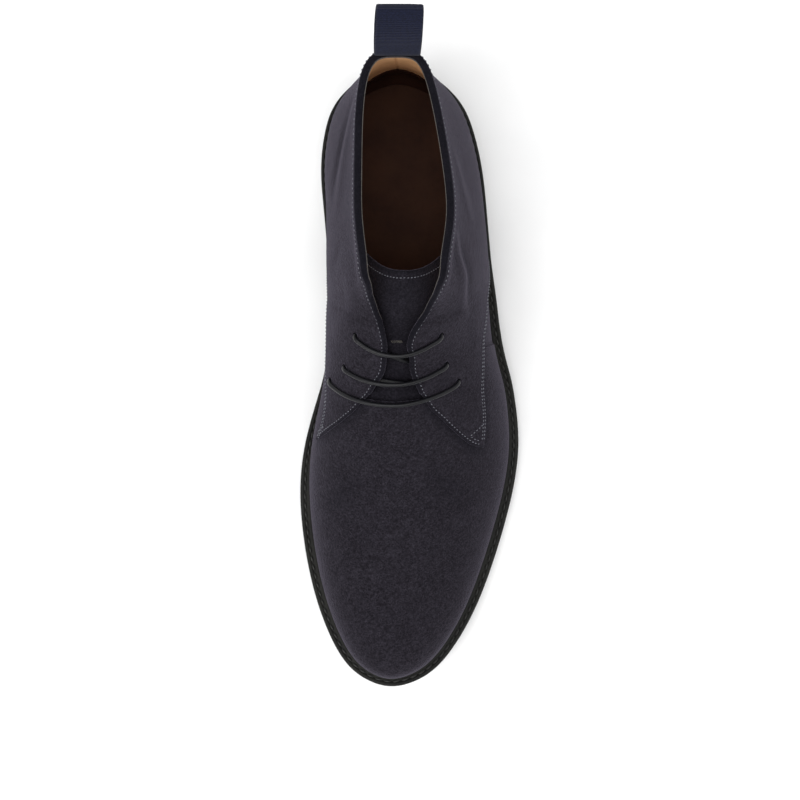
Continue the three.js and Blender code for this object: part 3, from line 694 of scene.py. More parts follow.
def vamp(material):
    """Front panel, closed over the ridge as far back as the throat and hidden under the quarters
    behind it."""
    fore = np.linspace(0, VAMP_RIDGE_END, 110)
    behind = np.concatenate([np.linspace(VAMP_RIDGE_END, 7.4, 17)[1:-1],
                             np.linspace(7.4, VAMP_BACK - 0.14, 36),
                             VAMP_BACK - np.array([0.1, 0.06, 0.03, 0.01, 0])])
    ribs = np.concatenate([fore, behind])
    knots = np.array(VAMP_FREE_EDGE)
    top = np.interp(ribs, knots[:, 0], knots[:, 1], left=1)
    shares = np.concatenate([[0, 0.004, 0.012], np.linspace(0.02, 1, 76)])
    turns = np.concatenate([-ribs[:0:-1], ribs])
    tops = np.concatenate([top[:0:-1], top])
    rise = shares[:, None] * tops[None]
    rise = np.where(rise > NEAR_TOP, 1, rise)
    turn = np.broadcast_to(turns, rise.shape)
    base = LAST.face(turn, rise)
    behind = np.linspace(VAMP_RIDGE_END, VAMP_BACK, BACK_POINTS)
    upwards = np.linspace(0, VAMP_FREE_EDGE[-1][1], BACK_POINTS)
    foot = [LAST.face(np.linspace(-VAMP_BACK, VAMP_BACK, 2 * FINE), 0)]
    borders = list(foot)
    wings = []
    for side in (1, -1):
        borders.append(LAST.face(side * VAMP_BACK, upwards))
        borders.append(LAST.face(side * behind, np.interp(behind, ribs, top)))
        wings += [LAST.along(seam(side, knots, 900)) for knots in panel_lines(side)[:2]]
    height = folds(base)
    outer = VAMP_OUT + height + rounded(distance(base, borders), VAMP_EDGE)
    # Painted highlight on the folds' ridges and painted shade in their troughs, and a darker band along the
    # foot
    tone = np.clip(height, -1, 1) - 0.25 * smooth(1 - distance(base, foot) / FOOT_SHADE)
    # Painted shadow on the vamp beside the quarters' edges, which lie over it
    tone -= 0.45 * smooth(1 - distance(base, wings) / WING_SHADE)
    return add_shell("vamp", LAST, (turn, rise), (outer, UPPER_IN), material, "suede", tone)


# Upper edge of the counter behind the vamp: rib and rise
COUNTER_EDGE = ((8.9, 0.47), (10.2, 0.40), (11.2, 0.34), (12.2, 0.24), (13.2, 0.14))


def counter(side, material):
    """Suede behind the vamp's rear edge, as far as the quarter that lies over it."""
    knots = np.array(COUNTER_EDGE)
    ribs = np.linspace(knots[0, 0], knots[-1, 0], 60)
    rise = np.interp(ribs, knots[:, 0], knots[:, 1]) * np.linspace(0, 1, 26)[:, None]
    turn = np.broadcast_to(turn_of(side, ribs), rise.shape)
    offsets = (VAMP_OUT - 0.75, UPPER_IN + 0.02)
    name = f"counter_{SIDE_NAMES[side]}"
    return add_shell(name, LAST, (turn, rise), offsets, material, "suede", np.full(rise.shape, -0.1))


# ---- Lining and binding ----
LINING_RIDGE_END = 6.9
LINING_OUT = UPPER_IN - 0.1
LINING_IN = -WALL - 0.1
LINING_FOOT = 0.012  # lining's lower edge, as a rise
LINING_SEAM = 0.5  # depth of the groove at the lining's back seam
LIP_DROP = 0.012  # lining's upper edge below the top line, as a rise
FACING_DROP = 0.02  # and below the facings
LIP_FROM = 8.9  # rib from which the lining follows the facings
# Its upper edge in front of that: rib and rise
LIP_START = ((LINING_RIDGE_END, 1.0), (LINING_RIDGE_END + 0.1, 0.72), (8.6, 0.62))
# Upper edge of the heel grip: rib and rise
GRIP_EDGE = ((14.8, 0.03), (16.2, 0.04), (17.0, 0.13), (17.6, 0.30), (HALF, 0.385))
GRIP_FOOT = 3.4  # how far the grip's foot turns in over the insole
GRIP_THICKNESS = 0.8


def lip_rise(ribs, side):
    """Rise of the lining's upper edge: it stops in front of the tongue and follows the facings."""
    _, _, front = panel_lines(side)
    known = sorted((rib, rise - FACING_DROP) for rib, rise in front if rib > LIP_FROM)
    return np.interp(ribs, *np.transpose([*LIP_START, *known, (COLLAR_FROM, 1.0)]), left=1.0, right=1.0)


def lining(material):
    """Inside of the whole upper, with its seam at the back."""
    ribs = np.concatenate([np.linspace(0, LINING_RIDGE_END, 50), np.linspace(6.93, HALF - 0.3, 130),
                           HALF - np.array([0.2, 0.12, 0.08, 0.05, 0.03, 0.015, 0])])
    turns = np.concatenate([ribs, TURN - ribs[-2:0:-1]])
    tops = np.concatenate([lip_rise(ribs, 1), lip_rise(ribs, -1)[-2:0:-1]])
    drop = np.where(rib_of(turns) <= LINING_RIDGE_END, 0, LIP_DROP)
    rise = LINING_FOOT + (tops - drop - LINING_FOOT) * np.linspace(0, 1, 46)[:, None]
    rise = np.where(rise > NEAR_TOP, 1, rise)
    turn = np.broadcast_to(turns, rise.shape)
    back_seam = LAST.face(np.full(400, float(HALF)), np.linspace(0, 1, 400))
    groove = LINING_SEAM * np.exp(-(distance(LAST.face(turn, rise), [back_seam]) / 0.5) ** 2)
    add_shell("lining", LAST, (turn, rise), (LINING_OUT, LINING_IN + groove), material,
              "lining_leather", ring=True)


def heel_grip(material):
    """Darker leather round the inside of the heel."""
    knots = np.array(GRIP_EDGE)
    ribs = np.linspace(knots[0, 0], HALF, 60)
    top = through(knots, [1.6, 0.8, 0.6, 0.4], 200)
    tops = np.interp(ribs, top[:, 0], top[:, 1])
    turns = np.concatenate([ribs, TURN - ribs[-2::-1]])
    tops = np.concatenate([tops, tops[-2::-1]])
    shares = np.concatenate([np.linspace(0, 0.97, 26), [0.985, 0.995, 1.0]])
    rise = 0.02 + (tops - 0.02) * shares[:, None]
    turn = np.broadcast_to(turns, rise.shape)
    near = distance(LAST.face(turn, rise), [LAST.face(turns, tops)])
    back = (rib_of(turn) - knots[0, 0]) / (HALF - knots[0, 0])
    foot = smooth((0.16 - rise) / 0.15) * smooth((back - 0.5) / 0.45)
    inner = LINING_IN - GRIP_THICKNESS - rounded(near, 0.6) - GRIP_FOOT * foot
    add_shell("heel_grip", LAST, (turn, rise), (LINING_IN - 0.05, inner), material, "lining_leather")


# Distance below the lip (above it when negative) and offset, round the binding from the outside in
BINDING_PROFILE = (
    (1.75, -0.2), (1.7, 0.5), (1.55, 0.66), (1.2, 0.76), (0.7, 0.74), (0.25, 0.58), (-0.1, 0.25),
    (-0.36, -0.4), (-0.4, -1.2), (-0.25, -1.95), (0.1, -2.45), (0.8, -2.75), (2.4, -2.72),
    (2.4, -2.2), (1.2, -1.2),
)
BINDING_FROM = 7.85  # rib where the strip starts, under the lowest bar of the lace
BINDING_POINTS = 420
BINDING_WAVER = 0.15  # unevenness of the turned edge
WAVER_SPAN = 25
# Share of the full depth inside by rib: thin along the facings, full round the collar
BINDING_DEPTH = ((7.8, 0.30), (8.6, 0.38), (10.8, 0.42), (11.4, 0.46), (12.0, 0.60), (12.6, 0.80),
                 (13.2, 0.94), (13.8, 1.0), (HALF, 1.0))


def binding_path():
    """Places (turn, rise) along both quarters' upper edges, and the share of the full depth inside."""
    halves = []
    for side in (1, -1):
        line = seam(side, panel_lines(side)[0], 700)
        halves.append(line[rib_of(line[:, 0]) > BINDING_FROM])
    path = np.concatenate([halves[0], halves[1][-2::-1]])
    path = resample(path, LAST.along(path), BINDING_POINTS)
    return path, np.interp(rib_of(path[:, 0]), *np.transpose(BINDING_DEPTH))


def edge_frame(path):
    """Points of an upper edge, the normals there, and the directions out of the panel."""
    lip = LAST.along(path)
    normal = LAST.normal(path[:, 0], np.minimum(path[:, 1], 0.98))
    along = unit(np.gradient(lip, axis=0))
    out = unit(np.cross(normal, along))
    return lip, normal, out * np.sign(out[len(out) // 2, 2])


def collar_binding(material):
    """Strip of suede turned over the top line and the facings."""
    path, full = binding_path()
    lip, normal, out = edge_frame(path)
    share = np.arange(len(path)) / (len(path) - 1)
    ends = smooth(np.minimum(share, 1 - share) / 0.03)
    rng = np.random.default_rng(5)
    waver = rng.normal(0, 1, len(path) + WAVER_SPAN - 1)
    waver = np.convolve(waver, np.ones(WAVER_SPAN) / WAVER_SPAN, "valid") * BINDING_WAVER
    grid = []
    for below, offset in BINDING_PROFILE:
        if offset < 0:
            depth = offset * full * (0.3 + 0.7 * ends)
        else:
            depth = offset + 0.3 * (1 - full) + waver
        width = below * (0.55 + 0.45 * ends)
        grid.append(lip - out * width[:, None] + normal * depth[:, None])
    grid = np.array(grid)
    rows, cols = grid.shape[:2]
    faces = grid_faces(rows, cols, wrap_rows=True)
    faces += [list(range(0, rows * cols, cols)), list(range(cols - 1, rows * cols, cols))]
    return add_piece("collar_binding", grid, faces, material, "suede", np.full((rows, cols), -0.7))


LINING_EDGE = (0.12, -2.68)  # below the lip, and offset
LINING_EDGE_RADIUS = 0.17
LINING_EDGE_FROM = 0.43  # share of the binding's depth from which the edge shows


def lining_edge(material):
    """Cut edge of the lining that shows as a fine line inside the lip."""
    path, full = binding_path()
    lip, normal, out = edge_frame(path)
    keep = full > LINING_EDGE_FROM
    line = lip - out * LINING_EDGE[0] + normal * (LINING_EDGE[1] * full)[:, None]
    grid, faces = tube(line[keep], LINING_EDGE_RADIUS, 8)
    return add_piece("lining_edge", grid, faces, material, "lining_leather")


# ---- Stitches ----
# Rings of one stitch along its length: place, girth and height, in half lengths and radii
STITCH_RINGS = ((-0.86, 0.62, 0.05), (-0.4, 0.95, 0.62), (0.4, 0.95, 0.62), (0.86, 0.62, 0.05))
STITCH_END = -0.35  # height of the ends
STITCH_SIDES = 6


def stitch_mesh(rows, length, radius, slant=0.16):
    """Points and faces of all the stitches in rows of (points, normals): short raised threads."""
    angles = np.arange(STITCH_SIDES) * 2 * np.pi / STITCH_SIDES
    template = [(-1.0, 0.0, STITCH_END)]
    for along, girth, height in STITCH_RINGS:
        template += [(along, girth * math.cos(a), height + girth * math.sin(a)) for a in angles]
    template.append((1.0, 0.0, STITCH_END))
    template = np.array(template) * (length / 2, radius, radius)
    n = STITCH_SIDES
    last = 1 + (len(STITCH_RINGS) - 1) * n
    one = grid_faces(len(STITCH_RINGS), n, wrap_cols=True, start=1)
    one += [[0, 1 + (k + 1) % n, 1 + k] for k in range(n)]
    one += [[len(template) - 1, last + k, last + (k + 1) % n] for k in range(n)]
    points, faces = [], []
    for centres, normals in rows:
        tangents = unit(np.gradient(centres, axis=0))
        for centre, tangent, normal in zip(centres, tangents, normals):
            across = np.cross(normal, tangent)
            tangent = tangent + slant * across
            tangent /= np.linalg.norm(tangent)
            across = np.cross(normal, tangent)
            start = len(points) * len(template)
            points.append(centre + template @ np.array([tangent, across, normal]))
            faces += [[i + start for i in face] for face in one]
    return np.concatenate(points), faces


def add_stitches(name, rows, length, radius, material, slot, **shape):
    """One mesh of all the stitches in rows."""
    points, faces = stitch_mesh(rows, length, radius, **shape)
    add_piece(name, points, faces, material, slot, merge=False)


def stitch_row(line, side, pitch):
    """Stitch places along a line (turn, rise) of a quarter, and their normals."""
    heights = surface_height(line, side)
    points = LAST.skin(*line.T, heights)
    count = max(int(lengths_of(points).sum() / pitch), 2)
    q = resample(np.column_stack([line, heights]), points, count + 1)
    q = (q[1:] + q[:-1]) / 2
    return LAST.skin(*q.T), LAST.normal(q[:, 0], q[:, 1])


EDGE_PITCH = 1.25  # stitches along the upper edge, in pitches
# Margin of the row along the upper edge, by rib
EDGE_MARGIN = ((7.6, 1.5), (8.2, 1.8), (11.4, 1.8), (12.6, 2.35))
SECOND_MARGIN = 3.1  # second row round the wing's tip
LOWER_MARGINS = (1.3, 2.7)
TIP_ROW = 85  # where the second row ends and the row across the wing lies


def upper_rows(side, sizes):
    """All rows of stitches on one quarter."""
    top_knots, low_knots, _ = panel_lines(side)
    pitch = sizes.stitch_pitch / MM
    top = seam(side, top_knots, 1500)
    low = seam(side, low_knots, 1500)
    left = -side  # the panel lies to this hand of its upper edge, run from the tip
    margin = np.interp(rib_of(top[:, 0]), *np.transpose(EDGE_MARGIN))
    front = inset(top, left * margin)[25:-4]
    second = inset(top, left * SECOND_MARGIN)
    lower = [inset(low, -left * margin) for margin in LOWER_MARGINS]
    visible = low[28:, 1] > 0.012
    a, b = second[TIP_ROW], lower[-1][TIP_ROW]
    rows = [stitch_row(line, side, EDGE_PITCH * pitch) for line in (front, second[30:TIP_ROW])]
    rows += [stitch_row(line[28:][visible], side, pitch) for line in lower]
    rows.append(stitch_row(a + (b - a) * np.linspace(0, 1, 40)[:, None], side, pitch))
    return rows


def surface_height(line, side):
    """Offset of the quarter's outer face along a line."""
    points = LAST.along(line)
    top_near = distance(points, [LAST.along(seam(side, panel_lines(side)[0], FINE))])
    return quarter_height(line[:, 0], points, top_near)


# ---- Tongue ----
LACE_SLACK = 0.45
TONGUE_THICKNESS = 1.8
TONGUE_DEPTH_FRONT = -2.9
TONGUE_DEPTH = -5.5
TONGUE_SINK = (7.4, 8.1)
TONGUE_RIBS = (6.6, 12.6)
TONGUE_SPREAD = 0.4
TONGUE_EDGE = 0.8  # radius of the tongue's edge
TONGUE_WAVE = 0.22
TONGUE_STITCHES = 0.19  # row of stitches below the top edge, in ribs
TONGUE_STITCHED = 0.93  # share of the width that the row takes
# painted shade over the tongue, which lies deep between the facings
TONGUE_TONE = -0.35
TONGUE_EDGE_TONE = 0.3


def tongue_offset(rib):
    """Offset of the tongue's face, which sinks in behind the vamp's edge."""
    sink = smooth((rib - TONGUE_SINK[0]) / (TONGUE_SINK[1] - TONGUE_SINK[0]))
    return TONGUE_DEPTH_FRONT + (TONGUE_DEPTH - TONGUE_DEPTH_FRONT) * sink


def tongue_end(w):
    """Rib of the tongue's top edge, which dips in the middle."""
    return TONGUE_RIBS[1] - 0.13 + 0.36 * np.abs(w) ** 2.8


def tongue(material):
    """The tongue, under the facings."""
    share, w = np.meshgrid(np.linspace(0, 1, 120), np.linspace(-1, 1, 71), indexing="ij")
    rib = TONGUE_RIBS[0] + (tongue_end(w) - TONGUE_RIBS[0]) * share
    turn = np.where(w < 0, TURN - rib, rib)
    rise = 1 - np.abs(w) * TONGUE_SPREAD
    base = TONGUE_LAST.face(TONGUE_LAST.on_ridge(turn, rise), rise)
    near = distance(base, [resample(line, line, 900) for line in (base[-1], base[:, 0], base[:, -1])])
    x, y = base[..., 0], base[..., 1]
    middle = tongue_offset(rib) + TONGUE_WAVE * np.sin(x * 0.33 + y * 0.11) * np.sin(y * 0.21)
    outer = middle + rounded(near, TONGUE_EDGE)
    inner = middle - TONGUE_THICKNESS - 0.35 * rounded(near, TONGUE_EDGE)
    # Painted shade over the whole tongue, and a darker line along its edges
    tone = TONGUE_TONE - TONGUE_EDGE_TONE * smooth((1.0 - near) / 0.8)
    return add_shell("tongue_sheet", TONGUE_LAST, (turn, rise), (outer, inner), material, "suede", tone)


def tongue_rows(sizes):
    """The row of stitches along the tongue's top edge."""
    w = np.linspace(-TONGUE_STITCHED, TONGUE_STITCHED, 160)
    rib = tongue_end(w) - TONGUE_STITCHES
    place = np.where(w < 0, TURN - rib, rib), 1 - np.abs(w) * TONGUE_SPREAD
    points = TONGUE_LAST.skin(*place, TONGUE_DEPTH)
    run = run_of(points)
    pitch = sizes.stitch_pitch / MM
    want = np.arange(pitch / 2, run[-1], pitch)
    return [(sampled(points, run, want), unit(sampled(TONGUE_LAST.normal(*place), run, want)))]


BAR_TACK = (10.08, 4.2)  # rib, and width across the tongue
BAR_TACK_STITCHES = 8
BAR_TACK_THREAD = (1.9, 0.19)  # length and radius of one stitch
BAR_TACK_SLANT = -1.7


def bar_tack():
    """Close zigzag across the middle of the tongue, where the layers behind it are caught."""
    x = np.linspace(-0.5, 0.5, BAR_TACK_STITCHES) * BAR_TACK[1]
    reached = 1 - np.abs(x) / 44
    turn = np.where(x < 0, TURN - BAR_TACK[0], BAR_TACK[0])
    return TONGUE_LAST.skin(turn, reached, TONGUE_DEPTH + 0.15), TONGUE_LAST.normal(turn, reached)


# ---- Lace ----
LACE_UNDER = -(WALL + LACE_SLACK + 1.1)
LACE_OVER = 0.06  # clearance of the bars above the suede
LACE_STEP = 0.42
LACE_BRAID = {"ridges": 8, "lift": 0.045, "pitch": 1.9}
LACE_BEND = 1.9
BAR_STEPS = 9
DIAGONAL_STEPS = 7
DIAGONAL_BOW = 0.25
HIDDEN_LACE_ASIDE = 0.09
HIDDEN_END = 0.8
HIDDEN_STEPS = 4
LAST_END = (0.5, -0.06)


def crossing_points(start, end, bow, offset, steps):
    """Points over the ridge from a medial eyelet to a lateral one."""
    across = 2 * np.arange(1, steps) / steps - 1
    share = (across + 1) / 2
    rib = start[0] + (end[0] - start[0]) * share - bow * (1 - across ** 2)
    rise = 1 - (1 - np.where(across < 0, start[1], end[1])) * np.abs(across)
    turn = np.where(across < 0, TURN - rib, rib)
    return list(LAST.skin(turn, rise, offset))


def through_hole(side, eyelet, outside_neighbour, inside_neighbour, over):
    """Points of the lace through a hole from outside to inside."""
    turn = turn_of(side, eyelet[0])
    out = LAST.skin(turn, eyelet[1], over)
    under = LAST.skin(turn, eyelet[1], LACE_UNDER)
    axis = unit(out - under)

    def heading(neighbour, start):
        direction = neighbour - start
        return unit(direction - axis * direction.dot(axis))

    def arc(start, direction, sign):
        made = []
        for angle in (0, math.pi / 4, math.pi / 2):
            made.append(start + direction * LACE_BEND * (1 - math.sin(angle))
                        - axis * sign * LACE_BEND * (1 - math.cos(angle)))
        return made

    return (arc(out, heading(outside_neighbour, out), 1)
            + arc(under, heading(inside_neighbour, under), -1)[::-1])


def lace_route(over):
    """Points of the whole lace, from its hidden end to the other."""
    top, middle, low = EYELETS
    bars = [crossing_points(p["medial"], p["lateral"], p["bow"], over, BAR_STEPS) for p in EYELETS]
    diagonal = (DIAGONAL_BOW, LACE_UNDER, DIAGONAL_STEPS)
    top_to_middle = crossing_points(top["medial"], middle["lateral"], *diagonal)
    middle_to_low = crossing_points(middle["medial"], low["lateral"], *diagonal)
    share = HIDDEN_END * np.arange(HIDDEN_STEPS + 1) / HIDDEN_STEPS
    rib = top["medial"][0] + (low["medial"][0] - top["medial"][0]) * share
    rise = top["medial"][1] + (low["medial"][1] - top["medial"][1]) * share - HIDDEN_LACE_ASIDE
    hidden = list(LAST.skin(TURN - rib, rise, LACE_UNDER))
    last_end = LAST.skin(*np.add(top["lateral"], LAST_END), LACE_UNDER)
    return np.array(
        hidden
        + through_hole(-1, low["medial"], bars[2][0], hidden[-1], over)[::-1]
        + bars[2]
        + through_hole(1, low["lateral"], bars[2][-1], middle_to_low[-1], over)
        + middle_to_low[::-1]
        + through_hole(-1, middle["medial"], bars[1][0], middle_to_low[0], over)[::-1]
        + bars[1]
        + through_hole(1, middle["lateral"], bars[1][-1], top_to_middle[-1], over)
        + top_to_middle[::-1]
        + through_hole(-1, top["medial"], bars[0][0], top_to_middle[0], over)[::-1]
        + bars[0]
        + through_hole(1, top["lateral"], bars[0][-1], last_end, over)
        + [last_end])


def tube(line, radius, sides, ridges=0, lift=0.0, pitch=1.0):
    """Points and faces of a round cord along a line, with twisted ridges."""
    tangents = unit(np.gradient(line, axis=0))
    across = np.zeros_like(line)
    axis = np.cross(tangents[0], (0, 0, 1.0))
    for i, tangent in enumerate(tangents):
        axis = axis - tangent * axis.dot(tangent)
        axis /= np.linalg.norm(axis)
        across[i] = axis
    other = np.cross(tangents, across)
    angle = np.arange(sides) * 2 * np.pi / sides
    twist = 2 * np.pi * run_of(line)[:, None] / pitch
    size = radius + lift * np.cos(ridges * angle + twist) * np.cos(ridges * angle - twist)
    grid = (line[:, None] + across[:, None] * (size * np.cos(angle))[..., None]
            + other[:, None] * (size * np.sin(angle))[..., None])
    rows, cols = grid.shape[:2]
    faces = grid_faces(rows, cols, wrap_cols=True)
    faces += [list(range(cols)), list(range((rows - 1) * cols, rows * cols))]
    return grid, faces


def lace(sizes, material):
    """The cord; returns its length."""
    radius = sizes.lace_diameter / MM / 2
    route = lace_route(QUARTER_OUT + radius + LACE_OVER)
    chords = np.maximum(lengths_of(route), SHORTEST)
    line = through(route, chords, int(chords.sum() / LACE_STEP))
    grid, faces = tube(line, radius, 16, **LACE_BRAID)
    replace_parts(add_piece("lace_cord", grid, faces, material, "lace_cord"), "lace")
    return lengths_of(line).sum()


# ---- Pull loop ----
LOOP_BASE = (10.2, 1.6)
LOOP_TIP = (-6.6, 22.8)
LOOP_BULGE = 3.7
TAPE_WIDTH = 20.4
TAPE_MIDDLE = -2.0
TAPE_THICKNESS = 1.5
TAPE_SLANT = 1.4  # the fold's middle lies this much further to the outer side than the foot
TAPE_FOOT = 7.0  # hidden length of each layer under the collar
TAPE_LEAN = -0.12  # lean of the hidden length
TAPE_STEP = 0.13
TAPE_SOFT = 13  # steps over which the fold is rounded
TAPE_FOLD = 6  # points left out at the tip, where the fold is rounded
TAPE_ROUND = 0.85  # power of the loop's outline
TAPE_RIPPLE = 0.1  # height of the cross ribs
TAPE_NARROWING = 0.015
TAPE_SLANT_POWER = 1.4
TAPE_FLAT = 0.62  # how much of its thickness the tape keeps under the ribs
TAPE_SELVEDGE = (0.93, 0.07, 0.55)  # where it starts and how wide it is, in half widths; its thinning
TAPE_TWIST = 0.9  # how far the outer edge hangs at the fold
TAPE_ROW = 0.6  # row of stitches above the top line
TAPE_THREAD = (1.4, 0.26)  # length and radius of one stitch


def pull_loop(sizes, material, thread_material):
    """Ribbed tape, folded at the tip and sewn in at both ends."""
    collar = float(LAST.line("top_height", np.float64(HALF)))
    foot, tip = np.array([LOOP_BASE, LOOP_TIP]) + (0, collar)
    axis = tip - foot
    across = np.array([axis[1], -axis[0]]) / np.linalg.norm(axis)
    half = TAPE_THICKNESS / 2
    gap = across * half
    share = np.linspace(0, 1, 150)[:, None]
    lens = across * (LOOP_BULGE + half) * (1 - (2 * share - 1) ** 2) ** TAPE_ROUND
    sink = np.linspace(TAPE_FOOT, 0, 22)[:-1, None] * np.array([[TAPE_LEAN, -1.0]])
    layers = [np.concatenate([foot + sink + sign * gap,
                              (foot + axis * share + sign * (lens + gap * 0.9))[:-TAPE_FOLD]])
              for sign in (1, -1)]
    middle = np.concatenate([layers[0], layers[1][::-1]])
    run = run_of(middle)
    want = np.arange(0, run[-1], TAPE_STEP)
    padded = np.pad(sampled(middle, run, want), ((TAPE_SOFT // 2,) * 2, (0, 0)), mode="edge")
    soft = np.ones(TAPE_SOFT) / TAPE_SOFT
    middle = np.stack([np.convolve(column, soft, "valid") for column in padded.T], axis=1)
    tangent = unit(np.gradient(middle, axis=0))
    normal = np.stack([tangent[:, 1], -tangent[:, 0]], axis=1)
    ripple = TAPE_RIPPLE * np.cos(2 * np.pi * want / (sizes.tape_rib / MM))
    up = np.clip((middle[:, 1] - foot[1]) / axis[1], 0, 1)
    width = TAPE_WIDTH * (1 - TAPE_NARROWING * up)
    centre = TAPE_MIDDLE + TAPE_SLANT * up ** TAPE_SLANT_POWER
    start, span, thinning = TAPE_SELVEDGE
    sheets = []
    for sign in (1, -1):
        rows = []
        for w in np.linspace(-1, 1, 25):
            edge = 1 - smooth((abs(w) - start) / span) * thinning
            s, z = (middle + normal * (sign * edge * (half * TAPE_FLAT + ripple))[:, None]).T
            hang = TAPE_TWIST * up * smooth((w - 0.3) / 0.7)
            rows.append(np.stack([centre + w * width / 2, -s, z - hang], axis=-1))
        sheets.append(np.array(rows))
    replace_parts(add_piece("pull_tape", *shell(*sheets), material, "webbing"), "pull_loop")
    x = TAPE_MIDDLE + np.linspace(-0.45, 0.45, 11) * TAPE_WIDTH
    s, z = foot + TAPE_ROW * (axis - across * LOOP_BULGE * 4) / np.linalg.norm(axis) - gap * 1.25
    row = (np.stack([x, np.full(x.shape, -s), np.full(x.shape, z)], axis=1),
           np.tile([0, across[0], -across[1]], (len(x), 1)))
    add_stitches("stitches_tape", [row], *TAPE_THREAD, thread_material, "webbing")


# ---- Sole ----
def rib_at(stations):
    """Ribs that lie at these stations."""
    ribs = np.linspace(0, HALF, 4000)
    known = LAST.line("station", ribs)
    return np.interp(-np.asarray(stations), -known, ribs)


def edge_points(turn, inward, height):
    """Points a distance inwards from the sole's edge; height is a number or follows the station."""
    x, s, _, _ = LAST.sole_edge(turn, inward)
    z = height(s) if callable(height) else np.full(x.shape, float(height))
    return np.stack([x, -s, z], axis=-1)


SOLE_SHARP = math.radians(40)  # edges of sole and heel that stay crisp


def slab(name, profile, material, slot, ribs, across=26, bottom=None):
    """Solid plate between the two sides of the sole. The profile runs up the edge in rows of
    (inset, height); bottom shapes the underside by station and by distance from its edge."""
    lateral, medial = ([edge_points(turn_of(side, ribs), *row) for row in profile] for side in (1, -1))
    steps = np.arange(1, across)[:, None, None] / across
    top = medial[-1][None] * steps + lateral[-1][None] * (1 - steps)
    under = lateral[0][None] * steps + medial[0][None] * (1 - steps)
    if bottom is not None:
        width = np.linalg.norm(lateral[0] - medial[0], axis=-1)[None]
        margin = np.minimum(steps[..., 0], 1 - steps[..., 0]) * width
        under[..., 2] += bottom(under[..., 0], -under[..., 1], margin)
    grid = np.concatenate([np.array(lateral), top, np.array(medial)[::-1], under])
    rows, cols = grid.shape[:2]
    faces = grid_faces(rows, cols, wrap_rows=True)
    if ribs[0] > 0:
        faces.append(list(range(0, rows * cols, cols)))
    obj = add_piece(name, grid, faces, material, slot)
    obj.data.set_sharp_from_angle(angle=SOLE_SHARP)
    return obj


def above(height):
    """Height that follows the sole's underside."""
    return lambda station: underside(station) + height


TREAD_PITCH = 7.0
TREAD_DEPTH = 1.1
TREAD_MARGIN = 7.0
WAVE_HEIGHT = 2.2
WAVE_RATE = 0.16
GROOVE_SHARE = 0.17  # half width of a groove, in pitches
GROOVE_SLOPE = 0.07


def wave_grooves(x, station, margin, back, front):
    """Depth share of waved grooves between two stations, clear of the sole's edge."""
    wave = station + WAVE_HEIGHT * np.sin(x * WAVE_RATE)
    phase = np.mod(wave, TREAD_PITCH) / TREAD_PITCH
    groove = smooth((GROOVE_SHARE - np.abs(phase - 0.5)) / GROOVE_SLOPE)
    field = smooth((station - back) / 1.5) * smooth((front - station) / 1.5)
    return groove * field * smooth((margin - TREAD_MARGIN) / 1.2)


def tread(x, station, margin):
    """Shallow waved grooves across the forefoot and a line round the sole."""
    line = smooth((1.5 - np.abs(margin - 4.2)) / 0.6)
    return TREAD_DEPTH * np.maximum(wave_grooves(x, station, margin, 150, 283), 0.7 * line)


def tread_heel(x, station, margin):
    """The same grooves under the heel."""
    return TREAD_DEPTH * wave_grooves(x, station, margin, 12, HEEL_BREAST - 9)


def sole_ribs(start=0.0):
    """Ribs from one on to the heel, close where the tread needs them."""
    stations = np.arange(2.0, float(LAST.line("station", np.float64(start))) - 0.5, 0.7)
    ribs = np.concatenate([np.linspace(start, HALF, 200), rib_at(stations)])
    ribs = np.unique(np.round(ribs, 4))
    return ribs[ribs >= start]


def outsole(material):
    """The rubber plate with its rounded edge and waved tread."""
    profile = [(2.0, above(0.0)), (1.3, above(0.0)), (0.95, above(0.15)), (0.8, above(0.6)),
               (0.55, above(2.0)), (0.3, above(3.4)), (0.15, above(4.5)), (0.4, above(4.93)),
               (1.2, above(5.0))]
    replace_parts(slab("outsole_rubber", profile, material, "sole_rubber", sole_ribs(), bottom=tread),
                "outsole")


HEEL_TAPER = (2.55, 0.8)  # inset of the heel's side at the ground and at its top
HEEL_JOINTS = (6.0, 11.0, 16.0)
# Groove at a joint: rows by height from the joint, and how much deeper than the side
JOINT_ROWS = ((-1.6, 0.0), (-0.35, 0.03), (-0.18, 0.3), (0.18, 0.3), (0.35, 0.03))


def heel(material):
    """Stacked block: three lifts with fine joints, and a rubber top piece on the ground."""
    start = float(rib_at([HEEL_BREAST])[0])
    top = HEEL_RISE - GAP

    def row(z, deeper=0.0):
        return HEEL_TAPER[0] + (HEEL_TAPER[1] - HEEL_TAPER[0]) * z / top + deeper, z

    profile = [(4.6, 0.0), (3.2, 0.0), (2.75, 0.12), (2.55, 0.5)]
    profile += [row(joint + dz, deeper) for joint in HEEL_JOINTS for dz, deeper in JOINT_ROWS]
    profile += [row(19.0), row(20.3), row(top, 0.35)]
    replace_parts(slab("heel_block", profile, material, "sole_rubber", sole_ribs(start), bottom=tread_heel),
                "heel")


WELT_STITCH_INSET = 2.5
WELT_STITCH_HEIGHT = 7.72
WELT_THREAD = (3.5, 0.52)  # length and radius of one stitch
# Inset and height of the rows across the groove
WELT_GROOVE = ((1.2, 8.0), (1.75, 7.98), (2.05, 7.72), (2.5, 7.6), (2.95, 7.72), (3.2, 7.98))


def welt_squeeze(turns):
    """Share to which the welt's insets shrink where it narrows behind the waist, so that its rows
    keep their order."""
    return np.minimum(1.0, (reach(LAST.sole_edge(turns, reach)[1]) - 0.75) / 3.25)


